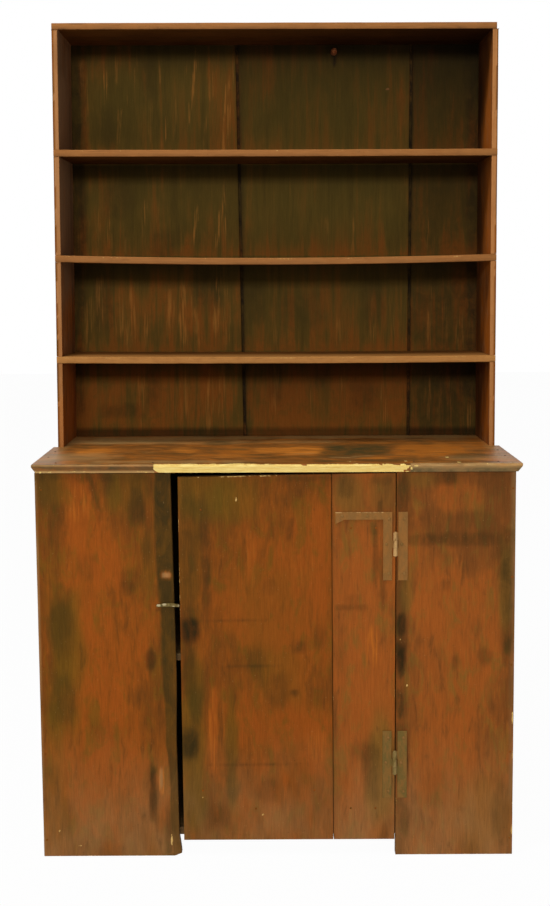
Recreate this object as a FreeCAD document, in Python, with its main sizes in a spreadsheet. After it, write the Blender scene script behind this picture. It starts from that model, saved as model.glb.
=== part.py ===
import FreeCAD, Part
import os
import re
import Sketcher
from FreeCAD import Placement, Rotation, Vector

# A step back cupboard of nailed boards: an open rack above, a deeper base with one door below.
# X runs to the right, Y to the back and Z up. The origin is on the floor, under the middle.

os.makedirs("parts", exist_ok=True)
doc = FreeCAD.newDocument("step_back_cupboard")
sheet = doc.addObject("Spreadsheet::Sheet", "sizes")

driving = {
    # the case
    "overall_height": 1980,          # floor to the upper face of the top board
    "case_width": 1100,              # over the outer faces of the sides
    "side_thickness": 14,
    "base_step": 271,                # how far the base stands out in front of the rack
    "rack_depth": 205,               # front edge of the side boards to the back boards
    "joint_clearance": 0.2,          # play where one board is let into another
    # the rack
    "top_thickness": 16,
    "top_short_end": 4,              # the top board stops short of the right side by this
    "shelf_thickness": 17,
    "upper_shelf_height": 1672,      # shelf heights are to the upper face
    "middle_shelf_height": 1412,
    "lower_shelf_height": 1159,
    "housing_depth": 5,              # groove in the side boards that holds a shelf end
    "ear_depth": 25,                 # front part of a shelf that runs over the side boards
    "shelf_proud": 2,                # shelves and top stand this far in front of the sides
    # the back
    "back_thickness": 14,
    "back_left_width_top": 449,
    "back_left_width_foot": 482,
    "back_right_width_top": 191,
    "back_right_width_foot": 199,
    "back_joint_gap": 7,
    "back_joint_lap": 12,
    "back_floor_gap": 10,
    "back_top_drop": 3,
    # the work surface
    "worktop_height": 931,
    "worktop_thickness": 21,
    "worktop_end_overhang": 12,
    "worktop_front_overhang": 18,
    "worktop_bevel_width": 9,
    "worktop_bevel_height": 15,
    # the front of the base
    "stile_thickness": 18,
    "left_stile_width_top": 304,
    "left_stile_width_foot": 324,
    "left_stile_lean": 8,            # its outer edge runs out past the side board at the top
    "right_stile_width": 275,
    "foot_clip_width": 17,           # corner broken off the left foot
    "foot_clip_height": 7,
    # inside the base
    "bottom_height": 60,
    "bottom_thickness": 18,
    "bottom_setback": 3,             # behind the back faces of stiles and door
    "inner_shelf_height": 478,
    "inner_shelf_thickness": 17,
    "inner_shelf_setback": 5,
    "cleat_thickness": 18,
    "cleat_height": 25,
    "cleat_end_gap": 30,
    # the door
    "door_thickness": 18,
    "door_top_gap": 12,              # at the free corner; less at the seam and at the hinges
    "door_top_gap_seam": 6,
    "door_top_gap_hinge": 4,
    "door_floor_gap": 38,
    "door_hinge_gap": 2,
    "door_free_gap_top": 17,
    "door_free_gap_foot": 5,
    "narrow_board_width_top": 148,
    "narrow_board_width_foot": 143,
    "door_seam_gap": 1,
    "batten_width": 75,
    "batten_thickness": 18,
    "batten_end_inset": 60,
    "batten_side_inset": 25,
    # the hinges
    "upper_hinge_height": 736,       # middle of the leaves
    "lower_hinge_height": 219,
    "leaf_length": 160,
    "leaf_thickness": 2.5,
    "door_leaf_width": 21,
    "stile_leaf_width": 22,
    "leaf_offset": 7,                # leaf edge to hinge axis
    "hinge_axis_inset": 1,           # axis to the hinge edge of the door
    "knuckle_radius": 5,
    "knuckle_standoff": 0.4,         # knuckle clear of the door face
    "knuckle_length": 54,
    "knuckle_rise": 5,               # middle of the knuckle above the middle of the leaves
    "knuckle_gap": 0.3,
    "web_stop": 1.5,                 # flat part of a leaf ends this far from the axis
    "pin_radius": 2.5,
    "pin_clearance": 0.05,
    "pin_head_radius": 3.6,
    "pin_head_height": 2.5,
    "pin_tail": 2,                   # pin below the lowest knuckle
    "arm_length": 110,               # arm of the upper hinge, out from its leaf
    "arm_height": 18,
    "arm_flare_length": 15,
    "arm_flare_drop": 10,
    # the turn button
    "button_height": 601,
    "button_inset": 12,              # pivot to the inner edge of the left stile
    "button_width": 8,
    "button_thickness": 4,
    "button_droop": 2.5,
    "button_gap": 0.3,
    "button_lap": 4,                 # the long arm reaches this far over the door
    "button_door_gap": 1,            # the short arm stops this far from the door
    # the hanging peg
    "peg_offset": 155,
    "peg_drop": 19,
    "peg_length": 30,
    "peg_radius": 9,
    "peg_tip_radius": 7,
    "peg_shank_radius": 6,
    "peg_shank_length": 12,
    # nails
    "nail_radius": 1.5,
    "nail_clearance": 0.05,
    "nail_head_radius": 2.6,
    "nail_head_height": 0.8,
    "nail_head_taper": 0.6,
    "case_nail_length": 42,
    "cleat_nail_length": 30,
    "batten_nail_length": 34,
    "batten_nail_stagger": 22,
    "iron_nail_radius": 1.8,
    "iron_nail_head_radius": 4,
    "iron_nail_head_height": 1.8,
    "iron_nail_length": 15,
    "button_nail_length": 20,
    "nail_row_inset": 40,            # first nail of a row from the end or edge of its board
    "leaf_nail_spread": 64,
    "leaf_nail_stagger": 3,
}

for row, (word, number) in enumerate(driving.items(), 1):
    sheet.set(f"A{row}", word.replace("_", " "))
    sheet.set(f"B{row}", str(number))
    sheet.setAlias(f"B{row}", word)
doc.recompute()

# Places worked out from the sizes, as expressions. f is the front face of the stiles.
half = "(case_width / 2)"
inner = "(case_width / 2 - side_thickness)"
depth = "(worktop_front_overhang + base_step + rack_depth + back_thickness + nail_head_height)"
front = f"(worktop_front_overhang - {depth} / 2)"
stile_back = f"({front} + stile_thickness)"
rack_front = f"({front} + base_step)"
back_face = f"({rack_front} + rack_depth)"
back_rear = f"({back_face} + back_thickness)"
side_middle = "(case_width / 2 - side_thickness / 2)"
side_top = "(overall_height - top_thickness)"
worktop_under = "(worktop_height - worktop_thickness)"
stile_right_edge = f"({half} - right_stile_width)"
door_top = f"({worktop_under} - door_top_gap)"
door_top_seam = f"({worktop_under} - door_top_gap_seam)"
door_top_hinge = f"({worktop_under} - door_top_gap_hinge)"
door_right = f"({stile_right_edge} - door_hinge_gap)"
door_left_top = f"(left_stile_width_top + door_free_gap_top - {half})"
door_left_foot = f"(left_stile_width_foot + door_free_gap_foot - {half})"
seam_top = f"({door_right} - narrow_board_width_top)"
seam_foot = f"({door_right} - narrow_board_width_foot)"
door_back = f"({front} + door_thickness)"
axis_x = f"({door_right} - hinge_axis_inset)"
axis_y = f"({front} - knuckle_radius - knuckle_standoff)"
upper_batten = f"({door_top} - batten_end_inset - batten_width / 2)"
lower_batten = "(door_floor_gap + batten_end_inset + batten_width / 2)"
shelves = {"upper": "upper_shelf_height", "middle": "middle_shelf_height", "lower": "lower_shelf_height"}
sides = {"left": "-", "right": ""}

names = re.compile(r"\b[a-z_]+\b")
turns = {
    "down": Rotation(Vector(1, 0, 0), 180),
    "up": Rotation(),
    "back": Rotation(Vector(1, 0, 0), -90),
    "front": Rotation(Vector(1, 0, 0), 90),
    "right": Rotation(Vector(0, 1, 0), 90),
    "left": Rotation(Vector(0, 1, 0), -90),
}
opposite = {"down": "up", "up": "down", "back": "front", "front": "back", "right": "left", "left": "right"}
nodes = []


def bound(expression):
    """The expression with each size's word pointing at its cell."""
    return names.sub(lambda word: f"{sheet.Name}.{word.group()}", expression)


def value(expression):
    """What the expression comes to with the sheet as it is."""
    return float(sheet.evalExpression(bound(expression)))


def outline_sketch(body, plane, start, outlines):
    """Closed polygons on the body's own plane, moved along that plane's axis to start."""
    sketch = body.newObject("Sketcher::SketchObject", f"{body.Name}_sketch")
    flat = next(each for each in body.Origin.OriginFeatures if each.Role == f"{plane}_Plane")
    sketch.AttachmentSupport = (flat, [""])
    sketch.MapMode = "FlatFace"
    towards = "-1" if plane == "XZ" else "1"
    sketch.setExpression("AttachmentOffset.Base.z", f"{towards} * ({bound(start)})")
    for corners in outlines:
        first = sketch.GeometryCount
        points = [Vector(value(across), value(up), 0) for across, up in corners]
        for here, there in zip(points, points[1:] + points[:1]):
            sketch.addGeometry(Part.LineSegment(here, there))
        for index, corner in enumerate(corners):
            line = first + index
            following = first + (index + 1) % len(corners)
            sketch.addConstraint(Sketcher.Constraint("Coincident", line, 2, following, 1))
            for kind, expression in zip(("DistanceX", "DistanceY"), corner):
                size = Sketcher.Constraint(kind, -1, 1, line, 1, value(expression))
                constraint = sketch.addConstraint(size)
                sketch.setExpression(f"Constraints[{constraint}]", bound(expression))
    return sketch


def shaped(body, kind, plane, start, length, outlines):
    """Pads or pockets the outlines from start, for length, towards +X, +Y or +Z."""
    feature = body.newObject(f"PartDesign::{kind}", f"{body.Name}_{kind.lower()}")
    feature.Profile = outline_sketch(body, plane, start, outlines)
    feature.setExpression("Length", bound(length))
    feature.Reversed = (plane == "XZ") != (kind == "Pocket")
    body.Tip = feature


def board(label, plane, start, length, outline):
    """A body with one padded outline."""
    body = doc.addObject("PartDesign::Body", label)
    body.Label = label
    shaped(body, "Pad", plane, start, length, [outline])
    return body


def rectangle(left, right, low, high):
    return [(left, low), (right, low), (right, high), (left, high)]


def turned(kind, name, way, seat, measures):
    """A round primitive that stands on seat and points the given way."""
    primitive = doc.addObject(f"Part::{kind}", name)
    primitive.Placement = Placement(Vector(), turns[way])
    for axis, expression in zip("xyz", seat):
        primitive.setExpression(f"Placement.Base.{axis}", bound(expression))
    for measure, expression in measures.items():
        primitive.setExpression(measure, bound(expression))
    return primitive


def compound(label, links):
    group = doc.addObject("Part::Compound", label)
    group.Label = label
    group.Links = links
    return group


def joined(label, pieces):
    fused = doc.addObject("Part::MultiFuse", label)
    fused.Label = label
    fused.Shapes = pieces
    fused.Refine = True
    return fused


def nails(label, way, seats, length, kind="nail"):
    """Nails driven the given way from their seats, and the holes that they need."""
    made = []
    holes = []
    for number, seat in enumerate(seats, 1):
        name = f"{label}_{number}"
        shank = turned("Cylinder", f"{name}_shank", way, seat, {"Radius": f"{kind}_radius", "Height": length})
        head = turned("Cone", f"{name}_head", opposite[way], seat, {
            "Radius1": f"{kind}_head_radius",
            "Radius2": f"{kind}_head_radius * nail_head_taper",
            "Height": f"{kind}_head_height",
        })
        made.append(joined(name, [shank, head]))
        holes.append(turned("Cylinder", f"{name}_hole", way, seat, {
            "Radius": f"{kind}_radius + nail_clearance",
            "Height": f"{length} + nail_clearance",
        }))
    return made, holes


def drilled(label, blank, holes):
    """The blank with the holes taken out, under the node's name."""
    blank.Label = f"{label}_blank"
    cut = doc.addObject("Part::Cut", label)
    cut.Base = blank
    cut.Tool = compound(f"{label}_holes", holes)
    cut.Label = label
    nodes.append(cut)
    return cut


def kept(piece):
    """Marks a piece as a node of its own."""
    nodes.append(piece)
    return piece


# Nails, before the boards that they go through. Each row is a list of seats for its heads.

cleat_tops = {
    "worktop": worktop_under,
    "inner_shelf": "(inner_shelf_height - inner_shelf_thickness)",
    "bottom": "(bottom_height - bottom_thickness)",
}
shelf_levels = [f"({height} - shelf_thickness / 2)" for height in shelves.values()]
back_levels = shelf_levels + [
    "(overall_height - top_thickness / 2)",
    "(worktop_height - worktop_thickness / 2)",
    "(inner_shelf_height - inner_shelf_thickness / 2)",
    "(bottom_height - bottom_thickness / 2)",
]
openings = [
    ("upper_shelf_height", "overall_height"),
    ("middle_shelf_height", "upper_shelf_height"),
    ("lower_shelf_height", "middle_shelf_height"),
    ("worktop_height", "lower_shelf_height"),
    ("inner_shelf_height", "worktop_height"),
    ("bottom_height", "inner_shelf_height"),
]
stile_rows = 5

rack_rows = [f"{rack_front} + nail_row_inset", f"{back_face} - nail_row_inset"]
base_rows = [f"{stile_back} + nail_row_inset", f"{rack_front} - nail_row_inset"]
shelf_rows = [f"{rack_front} + ear_depth + nail_row_inset", f"{back_face} - nail_row_inset"]
lid_rows = [f"{stile_back} + nail_row_inset * 2", f"{rack_front} - nail_row_inset * 2"]
stile_heights = [
    f"nail_row_inset + {row} * ({worktop_under} - 2 * nail_row_inset) / {stile_rows - 1}"
    for row in range(stile_rows)
]

top_nails, top_holes = {}, {}
shelf_nails, shelf_holes = {}, {}
rack_cleat_nails, rack_cleat_holes = {}, {}
base_cleat_nails, base_cleat_holes = {}, {}
lid_nails, lid_holes = {}, {}
stile_nails, stile_holes = {}, {}
edge_nails, edge_holes = {}, {}
for side, sign in sides.items():
    middle = f"{sign}{side_middle}"
    face = f"{sign}{half}"
    top_nails[side], top_holes[side] = nails(
        f"top_nail_{side}", "down", [(middle, row, "overall_height") for row in rack_rows], "case_nail_length")
    shelf_nails[side], shelf_holes[side] = nails(
        f"shelf_nail_{side}", opposite[side],
        [(face, row, level) for level in shelf_levels for row in shelf_rows], "case_nail_length")
    cleat_levels = [f"{top} - cleat_height / 2" for top in cleat_tops.values()]
    rack_cleat_nails[side], rack_cleat_holes[side] = nails(
        f"rack_cleat_nail_{side}", opposite[side],
        [(face, row, level) for level in cleat_levels for row in rack_rows], "cleat_nail_length")
    base_cleat_nails[side], base_cleat_holes[side] = nails(
        f"base_cleat_nail_{side}", opposite[side],
        [(face, row, level) for level in cleat_levels for row in base_rows], "cleat_nail_length")
    lid_nails[side], lid_holes[side] = nails(
        f"lid_nail_{side}", "down", [(middle, row, "worktop_height") for row in lid_rows], "case_nail_length")
    stile_nails[side], stile_holes[side] = nails(
        f"stile_nail_{side}", "back", [(middle, front, height) for height in stile_heights], "case_nail_length")
    edge_nails[side], edge_holes[side] = nails(
        f"edge_nail_{side}", "front",
        [(middle, back_rear, f"({low} + {high}) / 2") for low, high in openings], "case_nail_length")

stile_lid_seats = {
    "left": [f"nail_row_inset - {half}", f"left_stile_width_top - nail_row_inset - {half}"],
    "right": [f"{half} - nail_row_inset", f"{half} - right_stile_width + nail_row_inset"],
}
stile_lid_nails, stile_lid_holes = {}, {}
for side, places in stile_lid_seats.items():
    seats = [(place, f"{front} + stile_thickness / 2", "worktop_height") for place in places]
    stile_lid_nails[side], stile_lid_holes[side] = nails(
        f"stile_lid_nail_{side}", "down", seats, "case_nail_length")

back_seats = {
    "left": [f"nail_row_inset - {half}", f"back_left_width_top - nail_row_inset - {half}"],
    "middle": [
        f"back_left_width_foot + nail_row_inset - {half}",
        f"{half} - back_right_width_foot - nail_row_inset",
    ],
    "right": [f"{half} - back_right_width_top + nail_row_inset", f"{half} - nail_row_inset"],
}
back_nails, back_holes = {}, {}
back_hole_at = {level: [] for level in back_levels}
for name, places in back_seats.items():
    seats = [(place, back_rear, level) for level in back_levels for place in places]
    back_nails[name], back_holes[name] = nails(f"back_nail_{name}", "front", seats, "case_nail_length")
    for (_, _, level), hole in zip(seats, back_holes[name]):
        back_hole_at[level].append(hole)


# The sides: a board of the rack's depth from floor to top, and a second one that widens the base.

def side_board(side):
    start = {"left": f"-{half}", "right": inner}[side]
    groove_start = {"left": f"-{inner} - housing_depth", "right": inner}[side]
    deep = f"{rack_front} + ear_depth"
    outline = [(rack_front, "0")]
    grooves = []
    for height in reversed(list(shelves.values())):
        low = f"{height} - shelf_thickness"
        high = f"{height} + joint_clearance"
        stop = f"{deep} + joint_clearance"
        outline += [(rack_front, low), (stop, low), (stop, high), (rack_front, high)]
        grooves.append(rectangle(deep, back_face, low, high))
    outline += [(rack_front, side_top), (back_face, side_top), (back_face, "0")]
    blank = board(f"side_board_{side}", "YZ", start, "side_thickness", outline)
    shaped(blank, "Pocket", "YZ", groove_start, "housing_depth", grooves)
    holes = top_holes[side] + shelf_holes[side] + rack_cleat_holes[side] + edge_holes[side]
    return drilled(f"side_board_{side}", blank, holes)


def side_front_board(side):
    start = {"left": f"-{half}", "right": inner}[side]
    outline = rectangle(stile_back, rack_front, "0", worktop_under)
    blank = board(f"side_front_board_{side}", "YZ", start, "side_thickness", outline)
    holes = base_cleat_holes[side] + lid_holes[side] + stile_holes[side]
    return drilled(f"side_front_board_{side}", blank, holes)


def cleat(name, side):
    top = cleat_tops[name]
    left = {"left": f"-{inner}", "right": f"{inner} - cleat_thickness"}[side]
    outline = rectangle(left, f"{left} + cleat_thickness", f"{top} - cleat_height", top)
    length = f"{back_face} - {stile_back} - 2 * cleat_end_gap"
    blank = board(f"{name}_cleat_{side}", "XZ", f"{stile_back} + cleat_end_gap", length, outline)
    levels = list(cleat_tops)
    first = levels.index(name) * len(rack_rows)
    used = slice(first, first + len(rack_rows))
    return drilled(f"{name}_cleat_{side}", blank, rack_cleat_holes[side][used] + base_cleat_holes[side][used])


for side in sides:
    side_board(side)
    side_front_board(side)
    for name in cleat_tops:
        cleat(name, side)


# The rack: top, three shelves let into the sides, and the peg in the back.

def top_board():
    outline = rectangle(f"-{half}", f"{half} - top_short_end", f"{rack_front} - shelf_proud", back_face)
    blank = board("top_board", "XY", side_top, "top_thickness", outline)
    level = "(overall_height - top_thickness / 2)"
    return drilled("top_board", blank, top_holes["left"] + top_holes["right"] + back_hole_at[level])


def shelf(name, height):
    reach = f"({inner} + housing_depth - joint_clearance)"
    lip = f"{rack_front} - shelf_proud"
    deep = f"{rack_front} + ear_depth"
    outline = [
        (f"-{half}", lip), (half, lip), (half, deep), (reach, deep),
        (reach, back_face), (f"-{reach}", back_face), (f"-{reach}", deep), (f"-{half}", deep),
    ]
    blank = board(f"shelf_{name}", "XY", f"{height} - shelf_thickness", "shelf_thickness", outline)
    first = list(shelves).index(name) * len(shelf_rows)
    used = slice(first, first + len(shelf_rows))
    level = f"({height} - shelf_thickness / 2)"
    ends = shelf_holes["left"][used] + shelf_holes["right"][used]
    return drilled(f"shelf_{name}", blank, ends + back_hole_at[level])


top_board()
for name, height in shelves.items():
    shelf(name, height)

peg_seat = ("peg_offset", back_face, f"{side_top} - peg_drop")
peg_shank = turned("Cylinder", "peg_shank", "back", peg_seat, {
    "Radius": "peg_shank_radius", "Height": "peg_shank_length"})
peg_body = turned("Cone", "peg_body", "front", peg_seat, {
    "Radius1": "peg_radius", "Radius2": "peg_tip_radius", "Height": "peg_length"})
kept(joined("hanging_peg", [peg_shank, peg_body]))
peg_hole = turned("Cylinder", "peg_hole", "back", peg_seat, {
    "Radius": "peg_shank_radius + joint_clearance", "Height": "peg_shank_length + joint_clearance"})


# The back: three upright boards, half lapped at their joints so that a gap never shows daylight.

def back_board(name, left, right, holes):
    """left and right are the (foot, top) places of the joints, or None at the sides of the case."""
    low = "back_floor_gap"
    high = "(overall_height - back_top_drop)"
    half_thickness = "back_thickness / 2"
    edges = {"front": [], "rear": []}
    for joint, sign, own_side in ((left, "+", f"-{half}"), (right, "-", half)):
        for layer in edges:
            if joint is None:
                edges[layer].append((own_side, own_side))
                continue
            shift = f"{sign} back_joint_gap / 2"
            if layer == "rear":
                shift = "+ back_joint_lap + joint_clearance" if sign == "+" else "+ back_joint_lap"
            edges[layer].append(tuple(f"{place} {shift}" for place in joint))
    outlines = {}
    for layer, ((left_foot, left_top), (right_foot, right_top)) in edges.items():
        outlines[layer] = [(left_foot, low), (right_foot, low), (right_top, high), (left_top, high)]
    label = f"back_board_{name}"
    blank = board(label, "XZ", back_face, half_thickness, outlines["front"])
    shaped(blank, "Pad", "XZ", f"{back_face} + {half_thickness}", half_thickness, [outlines["rear"]])
    return drilled(label, blank, holes)


left_joint = (f"(back_left_width_foot - {half})", f"(back_left_width_top - {half})")
right_joint = (f"({half} - back_right_width_foot)", f"({half} - back_right_width_top)")
back_board("left", None, left_joint, back_holes["left"] + edge_holes["left"])
back_board("middle", left_joint, right_joint, back_holes["middle"] + [peg_hole])
back_board("right", right_joint, None, back_holes["right"] + edge_holes["right"])


# The base: worktop, stiles, bottom and inner shelf.

def worktop():
    end = f"({half} + worktop_end_overhang)"
    lip = f"({front} - worktop_front_overhang)"
    notch = f"{rack_front} - joint_clearance"
    narrow = f"({inner} - joint_clearance)"
    outline = [
        (f"-{end}", lip), (end, lip), (end, notch), (narrow, notch),
        (narrow, back_face), (f"-{narrow}", back_face), (f"-{narrow}", notch), (f"-{end}", notch),
    ]
    blank = board("worktop", "XY", worktop_under, "worktop_thickness", outline)
    rise = f"{worktop_under} + worktop_bevel_height"
    front_bevel = [(lip, worktop_under), (f"{lip} + worktop_bevel_width", worktop_under), (lip, rise)]
    shaped(blank, "Pocket", "YZ", f"-{end}", f"2 * {end}", [front_bevel])
    end_bevels = [
        [(f"{sign}{end}", worktop_under), (f"{sign}({end} - worktop_bevel_width)", worktop_under),
         (f"{sign}{end}", rise)]
        for sign in sides.values()
    ]
    shaped(blank, "Pocket", "XZ", lip, f"{notch} - {lip}", end_bevels)
    level = "(worktop_height - worktop_thickness / 2)"
    holes = [hole for group in (lid_holes, stile_lid_holes) for side in sides for hole in group[side]]
    return drilled("worktop", blank, holes + back_hole_at[level])


def inside_board(label, top, thickness, setback):
    reach = f"({inner} - joint_clearance)"
    outline = rectangle(f"-{reach}", reach, f"{stile_back} + {setback}", back_face)
    blank = board(label, "XY", f"{top} - {thickness}", thickness, outline)
    return drilled(label, blank, back_hole_at[f"({top} - {thickness} / 2)"])


worktop()
inside_board("inner_shelf", "inner_shelf_height", "inner_shelf_thickness", "inner_shelf_setback")
inside_board("bottom_board", "bottom_height", "bottom_thickness", "bottom_setback")


# The turn button and the edges that it works between, taken at its own height.

edge_rise = f"(button_height - foot_clip_height) / ({worktop_under} - foot_clip_height)"
stile_edge = (f"(left_stile_width_foot - {half}"
              f" + (left_stile_width_top - left_stile_width_foot) * {edge_rise})")
door_rise = f"(button_height - door_floor_gap) / ({door_top} - door_floor_gap)"
door_edge = f"({door_left_foot} + ({door_left_top} - {door_left_foot}) * {door_rise})"
pivot_x = f"({stile_edge} - button_inset)"
button_face = f"({front} - button_gap - button_thickness)"
pivot_nail, pivot_hole = nails(
    "button_nail", "back", [(pivot_x, f"{button_face} - button_gap", "button_height")],
    "button_nail_length", "iron_nail")


def turn_button():
    long_tip = f"({pivot_x} - ({door_edge} + button_lap - {pivot_x}))"
    short_tip = f"({door_edge} - button_door_gap)"
    outline = [
        (long_tip, "button_height - button_width / 2 - button_droop"),
        (pivot_x, "button_height - button_width / 2"),
        (short_tip, "button_height - button_width / 2 - button_droop"),
        (short_tip, "button_height + button_width / 4 - button_droop"),
        (pivot_x, "button_height + button_width / 2"),
        (long_tip, "button_height + button_width / 4 - button_droop"),
    ]
    blank = board("turn_button", "XZ", button_face, "button_thickness", outline)
    bore = turned("Cylinder", "button_bore", "back", (pivot_x, button_face, "button_height"), {
        "Radius": "iron_nail_radius + pin_clearance", "Height": "button_thickness"})
    return drilled("turn_button", blank, [bore])


turn_button()


# Hinges: flat leaves with rolled knuckles. The upper one has an arm across the door.

hinges = {"upper": "upper_hinge_height", "lower": "lower_hinge_height"}
leaf_face = f"({front} - leaf_thickness)"
third = "((knuckle_length - 2 * knuckle_gap) / 3)"
door_leaf_right = f"({axis_x} - leaf_offset)"
door_leaf_left = f"({door_leaf_right} - door_leaf_width)"
stile_leaf_left = f"({axis_x} + leaf_offset)"
stile_leaf_right = f"({stile_leaf_left} + stile_leaf_width)"


def leaf_nails(hinge, which, middle):
    """Three nails in a zigzag down a leaf, and two more along an arm."""
    height = hinges[hinge]
    seats = [
        (f"{middle} + leaf_nail_stagger", leaf_face, f"{height} + leaf_nail_spread"),
        (f"{middle} - leaf_nail_stagger", leaf_face, f"{height} + knuckle_rise"),
        (f"{middle} + leaf_nail_stagger", leaf_face, f"{height} - leaf_nail_spread"),
    ]
    if (hinge, which) == ("upper", "door"):
        arm_middle = f"{height} + leaf_length / 2 - arm_height / 2"
        seats += [
            (f"{door_leaf_left} - arm_length / 3", leaf_face, arm_middle),
            (f"{door_leaf_left} - arm_length + arm_flare_length", leaf_face, arm_middle),
        ]
    return nails(f"{hinge}_{which}_leaf_nail", "back", seats, "iron_nail_length", "iron_nail")


def knuckles(hinge, which):
    """The heights (low, high) of the rolled knuckles of one leaf."""
    middle = f"({hinges[hinge]} + knuckle_rise)"
    if which == "door":
        return [(f"{middle} - {third} / 2", f"{middle} + {third} / 2")]
    low = f"{middle} - knuckle_length / 2"
    high = f"{middle} + knuckle_length / 2"
    return [(low, f"{low} + {third}"), (f"{high} - {third}", high)]


def leaf(hinge, which, holes):
    low = f"{hinges[hinge]} - leaf_length / 2"
    high = f"{hinges[hinge]} + leaf_length / 2"
    bars = knuckles(hinge, which)
    near, far, web = {
        "door": (door_leaf_right, door_leaf_left, f"{axis_x} - web_stop"),
        "stile": (stile_leaf_left, stile_leaf_right, f"{axis_x} + web_stop"),
    }[which]
    outline = [(far, low), (near, low)]
    for bar_low, bar_high in bars:
        outline += [(near, bar_low), (web, bar_low), (web, bar_high), (near, bar_high)]
    outline += [(near, high)]
    if (hinge, which) == ("upper", "door"):
        tip = f"{far} - arm_length"
        outline += [
            (tip, high), (tip, f"{high} - arm_height - arm_flare_drop"),
            (f"{tip} + arm_flare_length", f"{high} - arm_height"), (far, f"{high} - arm_height"),
        ]
    else:
        outline += [(far, high)]
    label = f"hinge_{hinge}_{which}_leaf"
    plate = board(f"{label}_plate", "XZ", leaf_face, "leaf_thickness", outline)
    rolls = [
        turned("Cylinder", f"{label}_knuckle", "up", (axis_x, axis_y, bar_low), {
            "Radius": "knuckle_radius", "Height": f"{bar_high} - ({bar_low})"})
        for bar_low, bar_high in bars
    ]
    bore = turned("Cylinder", f"{label}_bore", "up", (axis_x, axis_y, low), {
        "Radius": "pin_radius + pin_clearance", "Height": "leaf_length"})
    return drilled(label, joined(f"{label}_rolled", [plate] + rolls), [bore] + holes)


def hinge_pin(hinge):
    seat = (axis_x, axis_y, f"{hinges[hinge]} + knuckle_rise + knuckle_length / 2")
    shank = turned("Cylinder", f"{hinge}_pin_shank", "down", seat, {
        "Radius": "pin_radius", "Height": "knuckle_length + pin_tail"})
    head = turned("Cone", f"{hinge}_pin_head", "up", seat, {
        "Radius1": "pin_head_radius",
        "Radius2": "pin_head_radius * nail_head_taper",
        "Height": "pin_head_height",
    })
    return kept(joined(f"hinge_{hinge}_pin", [shank, head]))


leaf_middles = {
    "door": f"({door_leaf_right} - door_leaf_width / 2)",
    "stile": f"({stile_leaf_left} + stile_leaf_width / 2)",
}
hinge_nails = {"door": [], "stile": []}
hinge_holes = {"door": [], "stile": []}
for hinge in hinges:
    for which, middle in leaf_middles.items():
        made, holes = leaf_nails(hinge, which, middle)
        hinge_nails[which] += made
        hinge_holes[which] += holes
        leaf(hinge, which, holes)
    hinge_pin(hinge)


# The stiles: wide upright boards that run on to the floor as feet.

def stiles():
    inner_foot = f"(left_stile_width_foot - {half})"
    left = [
        (f"-{half}", "0"), (f"{inner_foot} - foot_clip_width", "0"), (inner_foot, "foot_clip_height"),
        (f"left_stile_width_top - {half}", worktop_under),
        (f"-({half} + left_stile_lean)", worktop_under),
    ]
    right = rectangle(stile_right_edge, half, "0", worktop_under)
    extra = {"left": pivot_hole, "right": hinge_holes["stile"]}
    for side, outline in (("left", left), ("right", right)):
        blank = board(f"front_stile_{side}", "XZ", front, "stile_thickness", outline)
        drilled(f"front_stile_{side}", blank, stile_holes[side] + stile_lid_holes[side] + extra[side])


stiles()


# The door: two upright boards nailed to two battens.

battens = {"upper": upper_batten, "lower": lower_batten}
batten_left = f"({door_left_foot} + batten_side_inset)"
batten_right = f"({door_right} - batten_side_inset)"
wide_places = [
    (f"{batten_left} + nail_row_inset / 2", "+"),
    (f"({door_left_top} + {seam_top}) / 2", "-"),
    (f"{seam_top} - nail_row_inset", "+"),
]
narrow_places = [
    (f"{seam_foot} + nail_row_inset", "-"),
    (f"{batten_right} - nail_row_inset / 2", "-"),
]
batten_nails = []
board_holes = {"wide": [], "narrow": []}
for name, middle in battens.items():
    own_holes = []
    for which, places in (("wide", wide_places), ("narrow", narrow_places)):
        seats = [(place, front, f"{middle} {sign} batten_nail_stagger") for place, sign in places]
        made, holes = nails(f"{name}_batten_nail_{which}", "back", seats, "batten_nail_length")
        batten_nails += made
        board_holes[which] += holes
        own_holes += holes
    outline = rectangle(
        batten_left, batten_right, f"{middle} - batten_width / 2", f"{middle} + batten_width / 2")
    blank = board(f"door_batten_{name}", "XZ", door_back, "batten_thickness", outline)
    drilled(f"door_batten_{name}", blank, own_holes)

wide_outline = [
    (door_left_foot, "door_floor_gap"), (f"{seam_foot} - door_seam_gap / 2", "door_floor_gap"),
    (f"{seam_top} - door_seam_gap / 2", door_top_seam), (door_left_top, door_top),
]
narrow_outline = [
    (f"{seam_foot} + door_seam_gap / 2", "door_floor_gap"), (door_right, "door_floor_gap"),
    (door_right, door_top_hinge), (f"{seam_top} + door_seam_gap / 2", door_top_seam),
]
wide_board = board("door_board_wide", "XZ", front, "door_thickness", wide_outline)
drilled("door_board_wide", wide_board, board_holes["wide"])
narrow_board = board("door_board_narrow", "XZ", front, "door_thickness", narrow_outline)
drilled("door_board_narrow", narrow_board, board_holes["narrow"] + hinge_holes["door"])


# The nails, one node for each use.

def both(group):
    return group["left"] + group["right"]


kept(compound("top_board_nails", both(top_nails)))
kept(compound("shelf_nails", both(shelf_nails)))
kept(compound("cleat_nails", both(rack_cleat_nails) + both(base_cleat_nails)))
kept(compound("worktop_nails", both(lid_nails) + both(stile_lid_nails)))
kept(compound("stile_nails", both(stile_nails)))
kept(compound("back_board_nails", both(back_nails) + back_nails["middle"] + both(edge_nails)))
kept(compound("batten_nails", batten_nails))
kept(compound("hinge_nails_door", hinge_nails["door"]))
kept(compound("hinge_nails_stile", hinge_nails["stile"]))
kept(compound("turn_button_nail", pivot_nail))


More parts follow.
